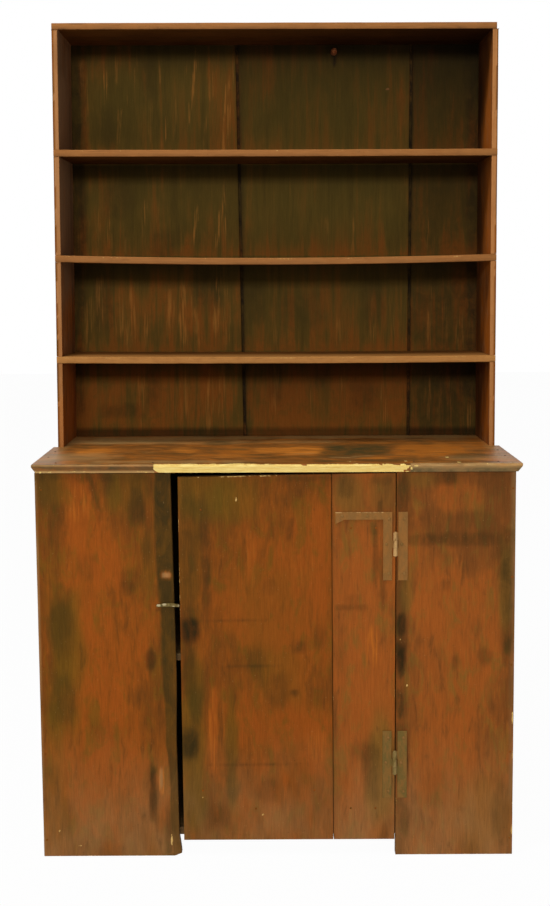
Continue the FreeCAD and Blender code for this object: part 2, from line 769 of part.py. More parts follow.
doc.recompute()
for each in doc.Objects:
    if "Invalid" in each.State or "Error" in each.State:
        raise RuntimeError(f"{each.Label} failed: {each.State}")
for node in nodes:
    if node.Shape.isNull() or not node.Shape.isValid() or node.Shape.Volume <= 0:
        raise RuntimeError(f"{node.Label} has no sound shape")
for node in nodes:
    node.Shape.exportStep(f"parts/{node.Label}.step")
print(f"{len(nodes)} nodes, {sum(len(node.Shape.Solids) for node in nodes)} solids")
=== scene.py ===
import bpy
import numpy as np
from mathutils import Matrix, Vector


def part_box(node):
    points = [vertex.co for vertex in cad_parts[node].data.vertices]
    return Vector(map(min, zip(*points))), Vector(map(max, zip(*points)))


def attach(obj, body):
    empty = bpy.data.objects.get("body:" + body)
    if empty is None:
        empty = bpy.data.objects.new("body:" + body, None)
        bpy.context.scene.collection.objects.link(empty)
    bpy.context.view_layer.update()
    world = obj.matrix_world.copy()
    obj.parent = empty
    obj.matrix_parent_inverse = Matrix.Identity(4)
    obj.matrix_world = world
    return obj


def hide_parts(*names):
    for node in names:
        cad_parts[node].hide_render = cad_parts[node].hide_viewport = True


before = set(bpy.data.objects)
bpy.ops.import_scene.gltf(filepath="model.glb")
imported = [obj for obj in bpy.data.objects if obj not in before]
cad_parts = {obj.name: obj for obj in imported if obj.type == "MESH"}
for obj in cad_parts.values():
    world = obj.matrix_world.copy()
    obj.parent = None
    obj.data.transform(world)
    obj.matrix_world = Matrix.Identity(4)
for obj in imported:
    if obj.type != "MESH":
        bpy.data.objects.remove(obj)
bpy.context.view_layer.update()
mm = 0.001
print("frame loaded:", len(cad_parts), "nodes")

# Camera, lamps and floor

view = {
    "place": (-0.0136, -2.9805, 1.3573),   # metres
    "down": 4.12,       # degrees that it looks down
    "turn": -0.20,      # degrees to the left
    "roll": -0.19,
    "lens": 47.9,       # mm, on a frame 36 mm high
    "frameHeight": 36,
    "shift": -0.0989,   # part of the frame's height
}
lamps = {
    "front": {"place": (-0.55, -6.2, 2.95), "aim": (0.0, 0.0, 1.15), "size": (3.0, 0.75), "power": 205},
    "upper": {"place": (-1.2, -1.25, 4.2), "aim": (0.0, 0.0, 1.4), "size": (0.8, 0.8), "power": 56},
}
room = {"light": 0.27, "background": 1.0}   # from all round, and what the camera, metal and glass see
floorFinish = {"reach": 14, "colour": (0.9, 0.9, 0.9), "roughness": 0.9, "specular": 0.1, "glowPart": 0.97}


def lookingFrame(down, turn, roll):
    # the three axes of a camera: turned about Z, tipped down, then rolled about its own line of sight
    d, t, r = np.radians([down, turn, roll])
    right = np.array([np.cos(t), np.sin(t), 0])
    ahead = np.array([-np.sin(t) * np.cos(d), np.cos(t) * np.cos(d), -np.sin(d)])
    up = np.cross(right, ahead)
    return right * np.cos(r) + up * np.sin(r), up * np.cos(r) - right * np.sin(r), ahead


def aimed(thing, right, up, ahead, place):
    rows = [[right[i], up[i], -ahead[i], place[i]] for i in range(3)]
    thing.matrix_world = Matrix(rows + [[0, 0, 0, 1]])
    bpy.context.collection.objects.link(thing)


def addCamera():
    camera = bpy.data.objects.new("camera", bpy.data.cameras.new("camera"))
    aimed(camera, *lookingFrame(view["down"], view["turn"], view["roll"]), view["place"])
    camera.data.sensor_fit = "VERTICAL"
    camera.data.sensor_height = view["frameHeight"]
    camera.data.lens = view["lens"]
    camera.data.shift_y = view["shift"]
    bpy.context.scene.camera = camera


def addLamp(name, lamp):
    light = bpy.data.lights.new(name, "AREA")
    light.shape = "RECTANGLE"
    light.size, light.size_y = lamp["size"]
    light.energy = lamp["power"]
    ahead = np.array(lamp["aim"]) - lamp["place"]
    ahead /= np.linalg.norm(ahead)
    right = np.cross(ahead, (0, 0, 1))
    right /= np.linalg.norm(right)
    aimed(bpy.data.objects.new(name, light), right, np.cross(right, ahead), ahead, lamp["place"])


def add(tree, kind, inputs=None, **settings):
    # one shader node; an input is a socket to join or a plain value
    made = tree.nodes.new("ShaderNode" + kind)
    for key, value in settings.items():
        setattr(made, key, value)
    for key, value in (inputs or {}).items():
        if isinstance(value, bpy.types.NodeSocket):
            tree.links.new(value, made.inputs[key])
        else:
            made.inputs[key].default_value = value
    return made


def maths(tree, operation, a, b):
    return add(tree, "Math", {0: a, 1: b}, operation=operation).outputs[0]


def sawByCamera(tree):
    # 1 for what the camera, a reflection or a clear piece sees directly, 0 for light on its way
    path = add(tree, "LightPath")
    seen = maths(tree, "MAXIMUM", path.outputs["Is Camera Ray"], path.outputs["Is Glossy Ray"])
    return maths(tree, "MAXIMUM", seen, path.outputs["Is Transmission Ray"])


def addRoom():
    world = bpy.data.worlds.new("room")
    bpy.context.scene.world = world
    world.use_nodes = True
    tree = world.node_tree
    strength = add(tree, "MapRange", {
        "Value": sawByCamera(tree), "To Min": room["light"], "To Max": room["background"]})
    tree.links.new(strength.outputs[0], tree.nodes["Background"].inputs["Strength"])
    tree.nodes["Background"].inputs["Color"].default_value = (1, 1, 1, 1)


def addFloor():
    reach = floorFinish["reach"]
    mesh = bpy.data.meshes.new("floor")
    corners = [(-reach, -reach, 0), (reach, -reach, 0), (reach, reach, 0), (-reach, reach, 0)]
    mesh.from_pydata(corners, [], [(0, 1, 2, 3)])
    floor = bpy.data.objects.new("floor", mesh)
    bpy.context.collection.objects.link(floor)
    material = bpy.data.materials.new("paleFloor")
    material.use_nodes = True
    tree = material.node_tree
    shader = tree.nodes["Principled BSDF"]
    shader.inputs["Base Color"].default_value = (*floorFinish["colour"], 1)
    shader.inputs["Roughness"].default_value = floorFinish["roughness"]
    shader.inputs["Specular IOR Level"].default_value = floorFinish["specular"]
    glow = add(tree, "Emission", {"Color": (1, 1, 1, 1), "Strength": 1})
    part = maths(tree, "MULTIPLY", sawByCamera(tree), floorFinish["glowPart"])
    both = add(tree, "MixShader", {0: part, 1: shader.outputs[0], 2: glow.outputs[0]})
    tree.links.new(both.outputs[0], tree.nodes["Material Output"].inputs["Surface"])
    mesh.materials.append(material)


addCamera()
for name, lamp in lamps.items():
    addLamp(name, lamp)
addRoom()
addFloor()
bpy.context.scene.view_settings.view_transform = "Standard"
print("camera, lamps and floor placed")

# Noise and surfaces, as whole arrays

# the chance number at a corner is the fraction in spread * sin(corner . salt + seed * step)
chanceMaking = {"salt": np.array([12.9898, 78.233, 37.719]), "step": 17.31, "spread": 43758.5453}


def spread(*parts):
    # points from one array or number for each axis
    return np.stack(np.broadcast_arrays(*parts), axis=-1)


def fading(distance, reach):
    # e^-(distance / reach), and 1 where the distance is below 0
    return np.exp(-np.maximum(distance, 0) / reach)


def smoothStep(low, high, value):
    s = np.clip((value - low) / (high - low), 0, 1)
    return s * s * (3 - 2 * s)


def smoothNoise(points, seed=0):
    # value noise from -1 to 1: a chance number at each whole corner, blended between corners by 3s^2 - 2s^3
    cell = np.floor(points)
    part = points - cell
    part = part * part * (3 - 2 * part)
    total = np.zeros(points.shape[:-1])
    for corner in np.ndindex(2, 2, 2):
        angle = (cell + corner) @ chanceMaking["salt"] + seed * chanceMaking["step"]
        chance = np.sin(angle) * chanceMaking["spread"]
        total += (chance - np.floor(chance)) * np.prod(np.where(corner, part, 1 - part), axis=-1)
    return total * 2 - 1


def roughNoise(points, seed=0, octaves=3):
    # value noise under copies of itself, each twice as fine and half as strong; 1.6 keeps it near -1 to 1
    return sum(smoothNoise(points * 2.0 ** i, seed + i) / 2.0 ** i for i in range(octaves)) / 1.6


def roundedRing(corners, radii, counts, arcPoints=4):
    # corners: stations x corners x 2, against the clock. A corner is the quarter turn
    #   corner + r * (leaving * (1 - cos a) - arriving * (1 - sin a)), with a from 0 to 90 degrees.
    # A side runs straight to the next corner, at s - 0.7 * sin(2 pi s) / (2 pi), which crowds the points
    # toward its ends
    side = np.roll(corners, -1, axis=1) - corners
    leaving = side / np.maximum(np.linalg.norm(side, axis=2, keepdims=True), 1e-7)
    arriving = np.roll(leaving, 1, axis=1)
    outward = np.stack([leaving[..., 1], -leaving[..., 0]], axis=-1)
    a = np.linspace(0, np.pi / 2, arcPoints)[None, :, None]
    r = radii[:, :, None]
    starts = corners + r * leaving
    stops = np.roll(corners - r * arriving, -1, axis=1)
    points, outs, gaps = [], [], []
    for k, count in enumerate(counts):
        arc = leaving[:, k, None] * (1 - np.cos(a)) - arriving[:, k, None] * (1 - np.sin(a))
        points.append(corners[:, k, None] + r[:, k, None] * arc)
        outs.append(outward[:, k - 1, None] * np.cos(a) + outward[:, k, None] * np.sin(a))
        gaps.append(np.zeros(points[-1].shape[:2]))
        s = np.arange(1, count + 1)[None, :, None] / (count + 1)
        s = s - 0.7 * np.sin(2 * np.pi * s) / (2 * np.pi)
        points.append(starts[:, k, None] * (1 - s) + stops[:, k, None] * s)
        outs.append(np.broadcast_to(outward[:, k, None], points[-1].shape))
        long = np.linalg.norm(stops[:, k] - starts[:, k], axis=1)[:, None]
        gaps.append(long * np.minimum(s, 1 - s)[..., 0])
    return np.concatenate(points, axis=1), np.concatenate(outs, axis=1), np.concatenate(gaps, axis=1)


def skin(points, marks=None):
    # a closed shell over rings of points (rings x around x 3): a quad between neighbours, a lid on each end
    rings, around = points.shape[:2]
    index = np.arange(rings * around).reshape(rings, around)
    beside = np.roll(index, -1, axis=1)
    quads = np.stack([index[:-1], beside[:-1], beside[1:], index[1:]], axis=-1).reshape(-1, 4)
    lids = [index[0][::-1].tolist(), index[-1].tolist()]
    flat = points.reshape(-1, 3)
    middle = flat.mean(axis=0)
    a, b, c, d = (flat[quads[:, i]] - middle for i in range(4))
    volume = np.einsum("ij,ij->", np.cross(a, b), c) + np.einsum("ij,ij->", np.cross(a, c), d)
    if volume < 0:
        quads = quads[:, ::-1]
        lids = [lid[::-1] for lid in lids]
    return {"points": flat, "faces": quads.tolist() + lids, "marks": marks or {}}


# what a finish reads at each point: listed marks, where a board has its second finish, and a number
# of the board's own
spotMarks = ("grime", "film", "warm", "streak", "edge", "bare", "shade")
markNames = (*spotMarks, "other", "board")


def piece(name, shells, material, body, nodes, sharp=32):
    # one object from closed shells, riding on a body in the place of its CAD nodes
    faces, start = [], 0
    for shell in shells:
        faces += [[start + i for i in face] for face in shell["faces"]]
        start += len(shell["points"])
    mesh = bpy.data.meshes.new(name)
    mesh.from_pydata(np.concatenate([shell["points"] for shell in shells]).tolist(), [], faces)
    for mark in markNames:
        values = [np.broadcast_to(shell["marks"].get(mark, 0.0), len(shell["points"])) for shell in shells]
        layer = mesh.attributes.new(mark, "FLOAT", "POINT")
        layer.data.foreach_set("value", np.concatenate(values).astype(np.float32))
    mesh.polygons.foreach_set("use_smooth", np.ones(len(mesh.polygons), dtype=bool))
    mesh.set_sharp_from_angle(angle=np.radians(sharp))
    mesh.materials.append(material)
    mesh.validate()
    made = bpy.data.objects.new(name, mesh)
    bpy.context.collection.objects.link(made)
    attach(made, body)
    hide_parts(*nodes)
    return made


# Places taken from the CAD solids

def cadBox(node):
    low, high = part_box(node)
    return np.array(low), np.array(high)


def cadPoints(node):
    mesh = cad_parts[node].data
    flat = np.empty(len(mesh.vertices) * 3, dtype=np.float32)
    mesh.vertices.foreach_get("co", flat)
    return flat.reshape(-1, 3).astype(float)


def spanAt(node, height, depth=None):
    # the lowest and highest X of a solid's corners at a height, and at a depth where one is given
    points = cadPoints(node)
    near = abs(points[:, 2] - height) < 0.5 * mm
    if depth is not None:
        near &= abs(points[:, 1] - depth) < 0.5 * mm
    return points[near, 0].min(), points[near, 0].max()


def between(here, there, first, last, place):
    # straight line from (first, here) to (last, there)
    return here + (there - here) * (place - first) / (last - first)


# Boards

boardMaking = {
    "along": 6 * mm,          # spacing of the mesh
    "across": 4 * mm,
    "arris": 1.0 * mm,        # radius of an edge that isn't worn
    "worn": 1.5 * mm,         # how much wear adds
    "wearWave": 60 * mm,      # length over which the wear of an arris changes
    "mostRound": 0.45,        # an arris takes no more than this part of the narrowest side
    "end": 1.4 * mm,
    "planeTrack": 42 * mm,
    "planeDepth": 0.16 * mm,
    "drift": [2.5, 4, 9],     # how fast the plane tracks wander, per metre
    "warp": 0.35 * mm,
    "warpWave": [5, 16, 30],
    "warpFrom": 4 * mm,       # the warp is full this far in from an arris
    "step": 0.05 * mm,
    "rub": 0.5,               # how bare the arrises are
    "rubWide": 1.8 * mm,
}
spotMaking = {"reach": 1.8, "noiseSize": (5, 30), "waver": 0.45, "fade": (1.35, 0.5)}


def stations(first, last, spacing, rounding, steps):
    # places along a board: even ones, pairs at each step, and a quarter turn at each end
    turn = rounding * (1 - np.cos(np.radians([0, 22.5, 45, 67.5, 90])))
    inner = np.linspace(first + rounding, last - rounding, max(3, int((last - first) / spacing)))[1:-1]
    pairs = [step + sign * boardMaking["step"] for step in steps for sign in (-1, 1)]
    for step in steps:
        inner = inner[abs(inner - step) > 4 * boardMaking["step"]]
    return np.unique(np.concatenate([first + turn, last - turn, inner, pairs]))


def spotValue(across, up, spots, seed):
    # soft spots (across, up, half width, half height, strength, tilt), in mm. Strength falls off with
    # (u^3 + v^3)^(1/3), u and v being the distances over the half sizes, and the fall wavers with noise
    total = np.zeros(across.shape)
    for number, spot in enumerate(spots):
        x, z, wide, tall, strength = spot[:5]
        tilt = np.radians(spot[5] if len(spot) > 5 else 0)
        dx, dz = across / mm - x, up / mm - z
        u = abs(dx * np.cos(tilt) + dz * np.sin(tilt)) / wide
        v = abs(dz * np.cos(tilt) - dx * np.sin(tilt)) / tall
        near = (u < spotMaking["reach"]) & (v < spotMaking["reach"])
        size = np.clip(min(wide, tall), *spotMaking["noiseSize"]) * 1.6
        waver = roughNoise(spread(dx[near] / size, dz[near] / size / 2, 0), seed + number)
        apart = np.cbrt(u[near] ** 3 + v[near] ** 3) + spotMaking["waver"] * waver
        total[near] = 1 - (1 - total[near]) * (1 - strength * smoothStep(*spotMaking["fade"], apart))
    return total


def board(ends, axes, outline, steps=(), wear=None, marks=None, face=(0, 2), seed=0, bend=None, extra=None,
          coarse=(), **making):
    # outline(l) gives the section's corners (across, through), against the clock, at each place l along the
    # grain. The section is carried along the grain, drawn in by the end rounding e - sqrt(e^2 - (e - d)^2) at
    # a distance d from an end, and dented inwards by plane tracks |sin(pi w / track)| and by slow noise.
    # bend moves the points afterwards, extra adds marks worked out from them, coarse names wide-meshed sides
    values = {**boardMaking, **making}
    wear = wear or {}
    marks = marks or {}
    l = stations(*ends, values["along"], values["end"], steps)
    corners = np.stack([np.stack(np.broadcast_arrays(w, t, l)[:2], axis=-1) for w, t in outline(l)], axis=1)
    near = np.minimum(l - ends[0], ends[1] - l)
    e = values["end"]
    drawn = e - np.sqrt(np.maximum(e * e - np.maximum(e - near, 0) ** 2, 0))
    side = np.roll(corners, -1, axis=1) - corners
    side /= np.maximum(np.linalg.norm(side, axis=2, keepdims=True), 1e-7)
    out = np.stack([side[..., 1], -side[..., 0]], axis=-1)
    widths = np.linalg.norm(np.roll(corners, -1, axis=1) - corners, axis=2).max(axis=0)
    corners = corners - drawn[:, None, None] * (out + np.roll(out, 1, axis=1))
    number = np.arange(corners.shape[1])
    place = spread(l[:, None] / values["wearWave"], number[None, :] * 3.7, seed * 1.3)
    ragged = np.clip(roughNoise(place, seed, 4) + 0.15, 0, 1)
    worn = np.array([wear.get(int(k), 1.0) for k in number])[None, :]
    radii = values["arris"] + values["worn"] * worn * ragged
    shortest = np.linalg.norm(np.roll(corners, -1, axis=1) - corners, axis=2).min()
    radii = np.minimum(radii, values["mostRound"] * shortest)
    spacing = [values["across"] * (3 if side in coarse else 1) for side in number]
    counts = [max(1, int(width / each)) for width, each in zip(widths, spacing)]
    ring, outs, gaps = roundedRing(corners, radii, counts)
    local = np.concatenate([np.broadcast_to(l[:, None, None], (*ring.shape[:2], 1)), ring], axis=-1)
    broad = abs(outs[..., 1])          # 1 on the broad faces, 0 on the narrow ones
    drift = smoothNoise(local * values["drift"], seed + 5) * 0.6
    track = abs(np.sin(np.pi * (local[..., 1] / values["planeTrack"] + drift)))
    warp = 0.5 + 0.5 * roughNoise(local * values["warpWave"] + seed, seed + 9, 3)
    dent = broad * values["planeDepth"] * (1 - track)
    dent = dent + values["warp"] * warp * np.minimum(1, gaps / values["warpFrom"] + 0.3)
    ring = ring - outs * dent[..., None]
    points = np.empty((*ring.shape[:2], 3))
    order = ["XYZ".index(letter) for letter in axes]
    points[..., order[0]] = l[:, None]
    points[..., order[1]] = ring[..., 0]
    points[..., order[2]] = ring[..., 1]
    across, up = points[..., face[0]], points[..., face[1]]
    layers = {"board": np.full(across.shape, seed * 1.37)}
    for mark in spotMarks:
        layers[mark] = spotValue(across, up, marks.get(mark, ()), seed + 20)
    rub = fading(gaps, values["rubWide"]) * np.clip(0.35 + 0.9 * ragged.mean(axis=1)[:, None], 0, 1)
    layers["bare"] = np.maximum(layers["bare"], rub * values["rub"])
    for mark, value in (extra(points) if extra else {}).items():
        layers[mark] = np.maximum(layers.get(mark, 0.0), value)
    if bend:
        points = bend(points)
    return skin(points, {key: value.reshape(-1) for key, value in layers.items()})


def plainOutline(low, high, axes):
    # the four corners of a board's CAD box, seen along its grain
    w, t = ["XYZ".index(letter) for letter in axes[1:]]
    corners = ((low[w], low[t]), (high[w], low[t]), (high[w], high[t]), (low[w], high[t]))
    return lambda l: corners


def plainBoard(node, axes, **others):
    low, high = cadBox(node)
    along = "XYZ".index(axes[0])
    return board((low[along], high[along]), axes, plainOutline(low, high, axes), **others)


# Finishes

def linear(code):
    # a colour written as six hex digits, as the shader wants it
    parts = np.array([int(code[i:i + 2], 16) for i in (0, 2, 4)]) / 255
    return (*np.where(parts <= 0.04045, parts / 12.92, ((parts + 0.055) / 1.055) ** 2.4), 1)


def plus(tree, a, b):
    return maths(tree, "ADD", a, b)


def times(tree, a, b):
    return maths(tree, "MULTIPLY", a, b)


def noise(tree, vector, scale, detail, rough, twist=0.0):
    values = {"Vector": vector, "Scale": scale, "Detail": detail, "Roughness": rough, "Distortion": twist}
    return add(tree, "TexNoise", values).outputs[0]


def ease(tree, value, low, high, first=0.0, last=1.0):
    return add(tree, "MapRange", {
        "Value": value, "From Min": low, "From Max": high, "To Min": first, "To Max": last},
        interpolation_type="SMOOTHSTEP").outputs[0]


def tint(tree, part, under, over):
    # a part of one colour laid over another; 6, 7 and output 2 are the Mix node's colours
    return add(tree, "Mix", {0: part, 6: under, 7: over}, data_type="RGBA").outputs[2]


def marked(tree, name):
    return add(tree, "Attribute", attribute_name=name).outputs["Fac"]


def dimmed(tree, colour, part):
    return add(tree, "VectorMath", {0: colour, "Scale": part}, operation="SCALE").outputs[0]


def relief(tree, shader, height, deep, strength):
    # deep in metres
    bump = add(tree, "Bump", {"Height": height, "Distance": deep, "Strength": strength})
    tree.links.new(bump.outputs[0], shader.inputs["Normal"])


def newMaterial(name):
    material = bpy.data.materials.new(name)
    material.use_nodes = True
    return material, material.node_tree, material.node_tree.nodes["Principled BSDF"]


def shifted(tree, scale):
    # Object coordinates moved by the board's own number, and stretched along the grain
    coords = add(tree, "TexCoord").outputs["Object"]
    own = add(tree, "Attribute", attribute_name="board").outputs["Vector"]
    moved = add(tree, "VectorMath", {0: coords, 1: own}, operation="ADD").outputs[0]
    return moved, add(tree, "VectorMath", {0: moved, 1: scale}, operation="MULTIPLY").outputs[0]


woodLook = {
    "mottle": 8, "mottleLong": 2.2, "swirl": 0.4,   # per metre, how much longer along the grain, how twisted
    "streaks": 70, "streakLong": 5, "brightPart": 0.9,
    "fibres": 420, "fibreLong": 18, "fibrePart": 0.1,
    "blotch": 42, "blotchLong": 1.4, "blotchPart": 0.6, "filmFrom": 0.48, "filmTo": 0.66,
    "runs": 150, "runLong": 16,                     # thin bright lines where "streak" is marked
    "sootFrom": 0.56, "sootTo": 0.76, "sootPart": 0.35,
    "flake": 150, "pits": 300, "speckPart": 0.25, "holePart": 0.45,
    "gloss": 0.55, "specular": 0.1, "relief": 0.35, "reliefDeep": 0.0009,
}


def agedWood(name, grain, changes):
    # old paint over wood, in the order in which the layers lie: two tones, bright streaks along the grain, a
    # grey-green film, runs, rubbed edges, grime and painted shade, a second finish where "other" is marked,
    # fibres
    # that lighten and darken it all, bare wood, specks and pits. What is marked "shade" is darker by that
    # part:
    # painted shade in the rack, and some dark stains and seams
    look = {**woodLook, **changes}
    material, tree, shader = newMaterial(name)

    def along(length):
        return [1 / length if letter == grain else 1.0 for letter in "XYZ"]

    plain, patches = shifted(tree, along(look["mottleLong"]))
    long = shifted(tree, along(look["streakLong"]))[1]
    thin = shifted(tree, along(look["fibreLong"]))[1]
    wide = shifted(tree, along(look["blotchLong"]))[1]
    mottle = noise(tree, patches, look["mottle"], 5, 0.62, look["swirl"])
    streak = noise(tree, long, look["streaks"], 3, 0.6, 0.5)
    fibre = noise(tree, thin, look["fibres"], 3, 0.65)
    blotch = noise(tree, wide, look["blotch"], 5, 0.65, 0.6)
    line = noise(tree, shifted(tree, along(look["runLong"]))[1], look["runs"], 2, 0.5, 0.3)
    pit = noise(tree, plain, look["pits"], 1, 0.5)

    # the finish in two tones, and brighter where "warm" is marked: paint worn thin, and inside the rack
    # painted light
    tone = plus(tree, times(tree, mottle, 0.65), times(tree, streak, 0.35))
    warm = marked(tree, "warm")
    lift = times(tree, warm, 0.16)
    painted = ease(tree, plus(tree, tone, lift), 0.38, 0.60)
    colour = tint(tree, painted, linear(look["deep"]), linear(look["paint"]))
    glow = plus(tree, times(tree, plus(tree, streak, mottle), 0.5), lift)
    colour = tint(tree, ease(tree, glow, 0.50, 0.68, 0, look["brightPart"]), colour, linear(look["bright"]))

    # the grey-green film, by chance and where it is marked
    cloud = plus(tree, times(tree, blotch, 0.7), times(tree, streak, 0.3))
    cloud = ease(tree, cloud, look["filmFrom"], look["filmTo"], 0, look["blotchPart"])
    haze = times(tree, marked(tree, "film"), ease(tree, streak, 0.2, 0.6, 0.7, 1.0))
    colour = tint(tree, maths(tree, "MAXIMUM", cloud, haze), colour, linear(look["film"]))

    # runs, rubbed edges, then soot, and grime with painted shade
    run = marked(tree, "streak")
    run = times(tree, run, ease(tree, plus(tree, line, times(tree, run, 0.2)), 0.52, 0.78))
    colour = tint(tree, run, colour, linear(look["run"]))
    edge = times(tree, marked(tree, "edge"), ease(tree, blotch, 0.25, 0.55, 0.75, 1.0))
    colour = tint(tree, edge, colour, linear(look.get("edge", look["run"])))
    soot = maths(tree, "SUBTRACT", 1.0, streak)
    soot = ease(tree, soot, look["sootFrom"], look["sootTo"], 0, look["sootPart"])
    patch = times(tree, marked(tree, "grime"), ease(tree, blotch, 0.32, 0.62, 0.55, 1.0))
    colour = tint(tree, maths(tree, "MAXIMUM", soot, patch), colour, linear(look["grime"]))
    if "other" in look:
        second = tint(tree, ease(tree, tone, 0.38, 0.6), linear(look["other"][1]), linear(look["other"][0]))
        colour = tint(tree, marked(tree, "other"), colour, second)
    light = ease(tree, fibre, 0.3, 0.7, 1 - look["fibrePart"], 1 + look["fibrePart"])
    colour = dimmed(tree, colour, light)

    # bare wood, specks, pits and shade
    flake = noise(tree, plain, look["flake"], 4, 0.7)
    raw = plus(tree, marked(tree, "bare"), times(tree, flake, 0.9))
    raw = ease(tree, raw, 0.88, 1.0)
    woodTone = tint(tree, ease(tree, fibre, 0.3, 0.7), linear(look["wood"]), linear(look["woodDark"]))
    colour = tint(tree, raw, colour, woodTone)
    colour = tint(tree, ease(tree, pit, 0.735, 0.76, 0, look["speckPart"]), colour, linear(look["speck"]))
    colour = tint(tree, ease(tree, pit, 0.24, 0.27, look["holePart"], 0), colour, linear(look["grime"]))
    colour = dimmed(tree, colour, maths(tree, "SUBTRACT", 1.0, marked(tree, "shade")))
    tree.links.new(colour, shader.inputs["Base Color"])

    gloss = ease(tree, plus(tree, raw, times(tree, blotch, 0.5)), 0.1, 1.2, look["gloss"], 0.8)
    tree.links.new(gloss, shader.inputs["Roughness"])
    shader.inputs["Specular IOR Level"].default_value = look["specular"]
    height = plus(tree, times(tree, fibre, 0.5), times(tree, raw, -0.7))
    height = plus(tree, height, times(tree, streak, 0.8))
    relief(tree, shader, height, look["reliefDeep"], look["relief"])
    return material


ironLook = {
    "patches": 70, "patchLong": 0.4, "grit": 480, "rubbedPart": 0.8, "metal": 0.4, "specular": 0.12,
    "relief": 0.5, "reliefDeep": 0.0012,
}


def forgedIron(name, changes):
    # hammered iron under old paint, rusty in the hollows and rubbed bright where "bare" is marked
    look = {**ironLook, **changes}
    material, tree, shader = newMaterial(name)
    plain, long = shifted(tree, (1, 1, look["patchLong"]))
    patch = noise(tree, long, look["patches"], 4, 0.65, 0.4)
    grit = noise(tree, plain, look["grit"], 3, 0.7)
    colour = tint(tree, ease(tree, patch, 0.4, 0.62), linear(look["iron"]), linear(look["paint"]))
    colour = tint(tree, ease(tree, grit, 0.55, 0.75, 0, 0.6), colour, linear(look["rust"]))
    rubbed = plus(tree, marked(tree, "bare"), times(tree, patch, 0.8))
    rubbed = ease(tree, rubbed, 0.85, 1.05, 0, look["rubbedPart"])
    colour = tint(tree, rubbed, colour, linear(look["rubbed"]))
    # darker where grime and painted shade are marked
    colour = tint(tree, marked(tree, "grime"), colour, linear(look["dark"]))
    tree.links.new(colour, shader.inputs["Base Color"])
    tree.links.new(ease(tree, rubbed, 0, 1, 0.0, look["metal"]), shader.inputs["Metallic"])
    tree.links.new(ease(tree, grit, 0.3, 0.7, 0.5, 0.75), shader.inputs["Roughness"])
    shader.inputs["Specular IOR Level"].default_value = look["specular"]
    relief(tree, shader, plus(tree, patch, times(tree, grit, 0.35)), look["reliefDeep"], look["relief"])
    return material


frontLook = {
    "paint": "854610", "deep": "6c3c10", "bright": "964a12", "film": "574a10", "run": "b8651c",
    "grime": "2e260e", "wood": "d8b26c", "woodDark": "ac7e3e", "speck": "b8935a", "edge": "977044",
    "other": ("6a5232", "574228"), "specular": 0.05, "blotchPart": 0.5, "brightPart": 0.7,
    "sootPart": 0.25, "blotch": 26, "blotchLong": 2.2,
}
paleFrontLook = {**frontLook, "paint": "874a1a", "deep": "704018", "bright": "99501a", "film": "66561f"}
rackLook = {
    "paint": "5a4216", "deep": "4b3912", "bright": "774213", "film": "4b3f15", "run": "9c6428",
    "grime": "1c130a", "wood": "8f6238", "woodDark": "6c4726", "speck": "8d7a48", "speckPart": 0.1,
    "streakLong": 16, "streaks": 60, "specular": 0.05, "gloss": 0.7, "other": ("8a6a44", "6c5032"),
    "fibrePart": 0.08, "sootPart": 0.15, "blotchPart": 0.4, "runs": 260, "runLong": 22,
}
rackSideLook = {
    **rackLook, "paint": "854c1e", "deep": "70401c", "bright": "9a5314", "film": "8a6a4c",
    "edge": "a67040", "wood": "b98555", "woodDark": "a06f44", "run": "a9602c",
    "other": ("7d4410", "623a10"), "streakLong": 9, "specular": 0.04,
}
lipLook = {
    "paint": "6a3a12", "deep": "54300e", "bright": "7c481a", "film": "54401a", "run": "8a5424",
    "edge": "986434", "grime": "2a1a0c", "wood": "c2965a", "woodDark": "a67c44", "speck": "c8a878",
    "speckPart": 0.2, "blotchPart": 0.4, "specular": 0.06,
}
worktopLook = {
    "paint": "9c5c20", "deep": "70461a", "bright": "b5681e", "film": "86693a", "run": "d8822c",
    "edge": "b8925a", "grime": "403a1c", "wood": "fbe08a", "woodDark": "eec668", "speck": "d8b878",
    "mottle": 13, "mottleLong": 1.7, "swirl": 1.5, "streaks": 40, "streakLong": 3.5, "blotchPart": 0.35,
    "runs": 90, "runLong": 8, "specular": 0.2, "gloss": 0.45,
}
insideLook = {
    "paint": "6a4f30", "deep": "553e25", "bright": "7d5d36", "film": "4c432c", "run": "8a6638",
    "grime": "2d2114", "wood": "a98352", "woodDark": "86643c", "speck": "a08050",
}
hingeLook = {
    "iron": "81592a", "paint": "8e5e2a", "rust": "744a1c", "rubbed": "c49c64", "dark": "38280f", "metal": 0.0,
}
lowerHingeLook = {**hingeLook, "iron": "6a5526", "paint": "805a28", "rust": "5c4018", "rubbed": "8e7848"}
buttonLook = {
    "iron": "6c5a30", "paint": "7a693c", "rust": "4a3c20", "rubbed": "c0b088", "dark": "3a3420", "metal": 0.1,
}
hingeNailLook = {**hingeLook, "iron": "785628", "paint": "886030", "rust": "6a4a20"}
nailLook = {"iron": "3a2f22", "paint": "54402a", "rust": "5c3418", "rubbed": "8a7a5a", "dark": "1e1812"}
pegLook = {**rackSideLook, "paint": "74381a", "deep": "562a14", "bright": "9a5630", "run": "b87848"}

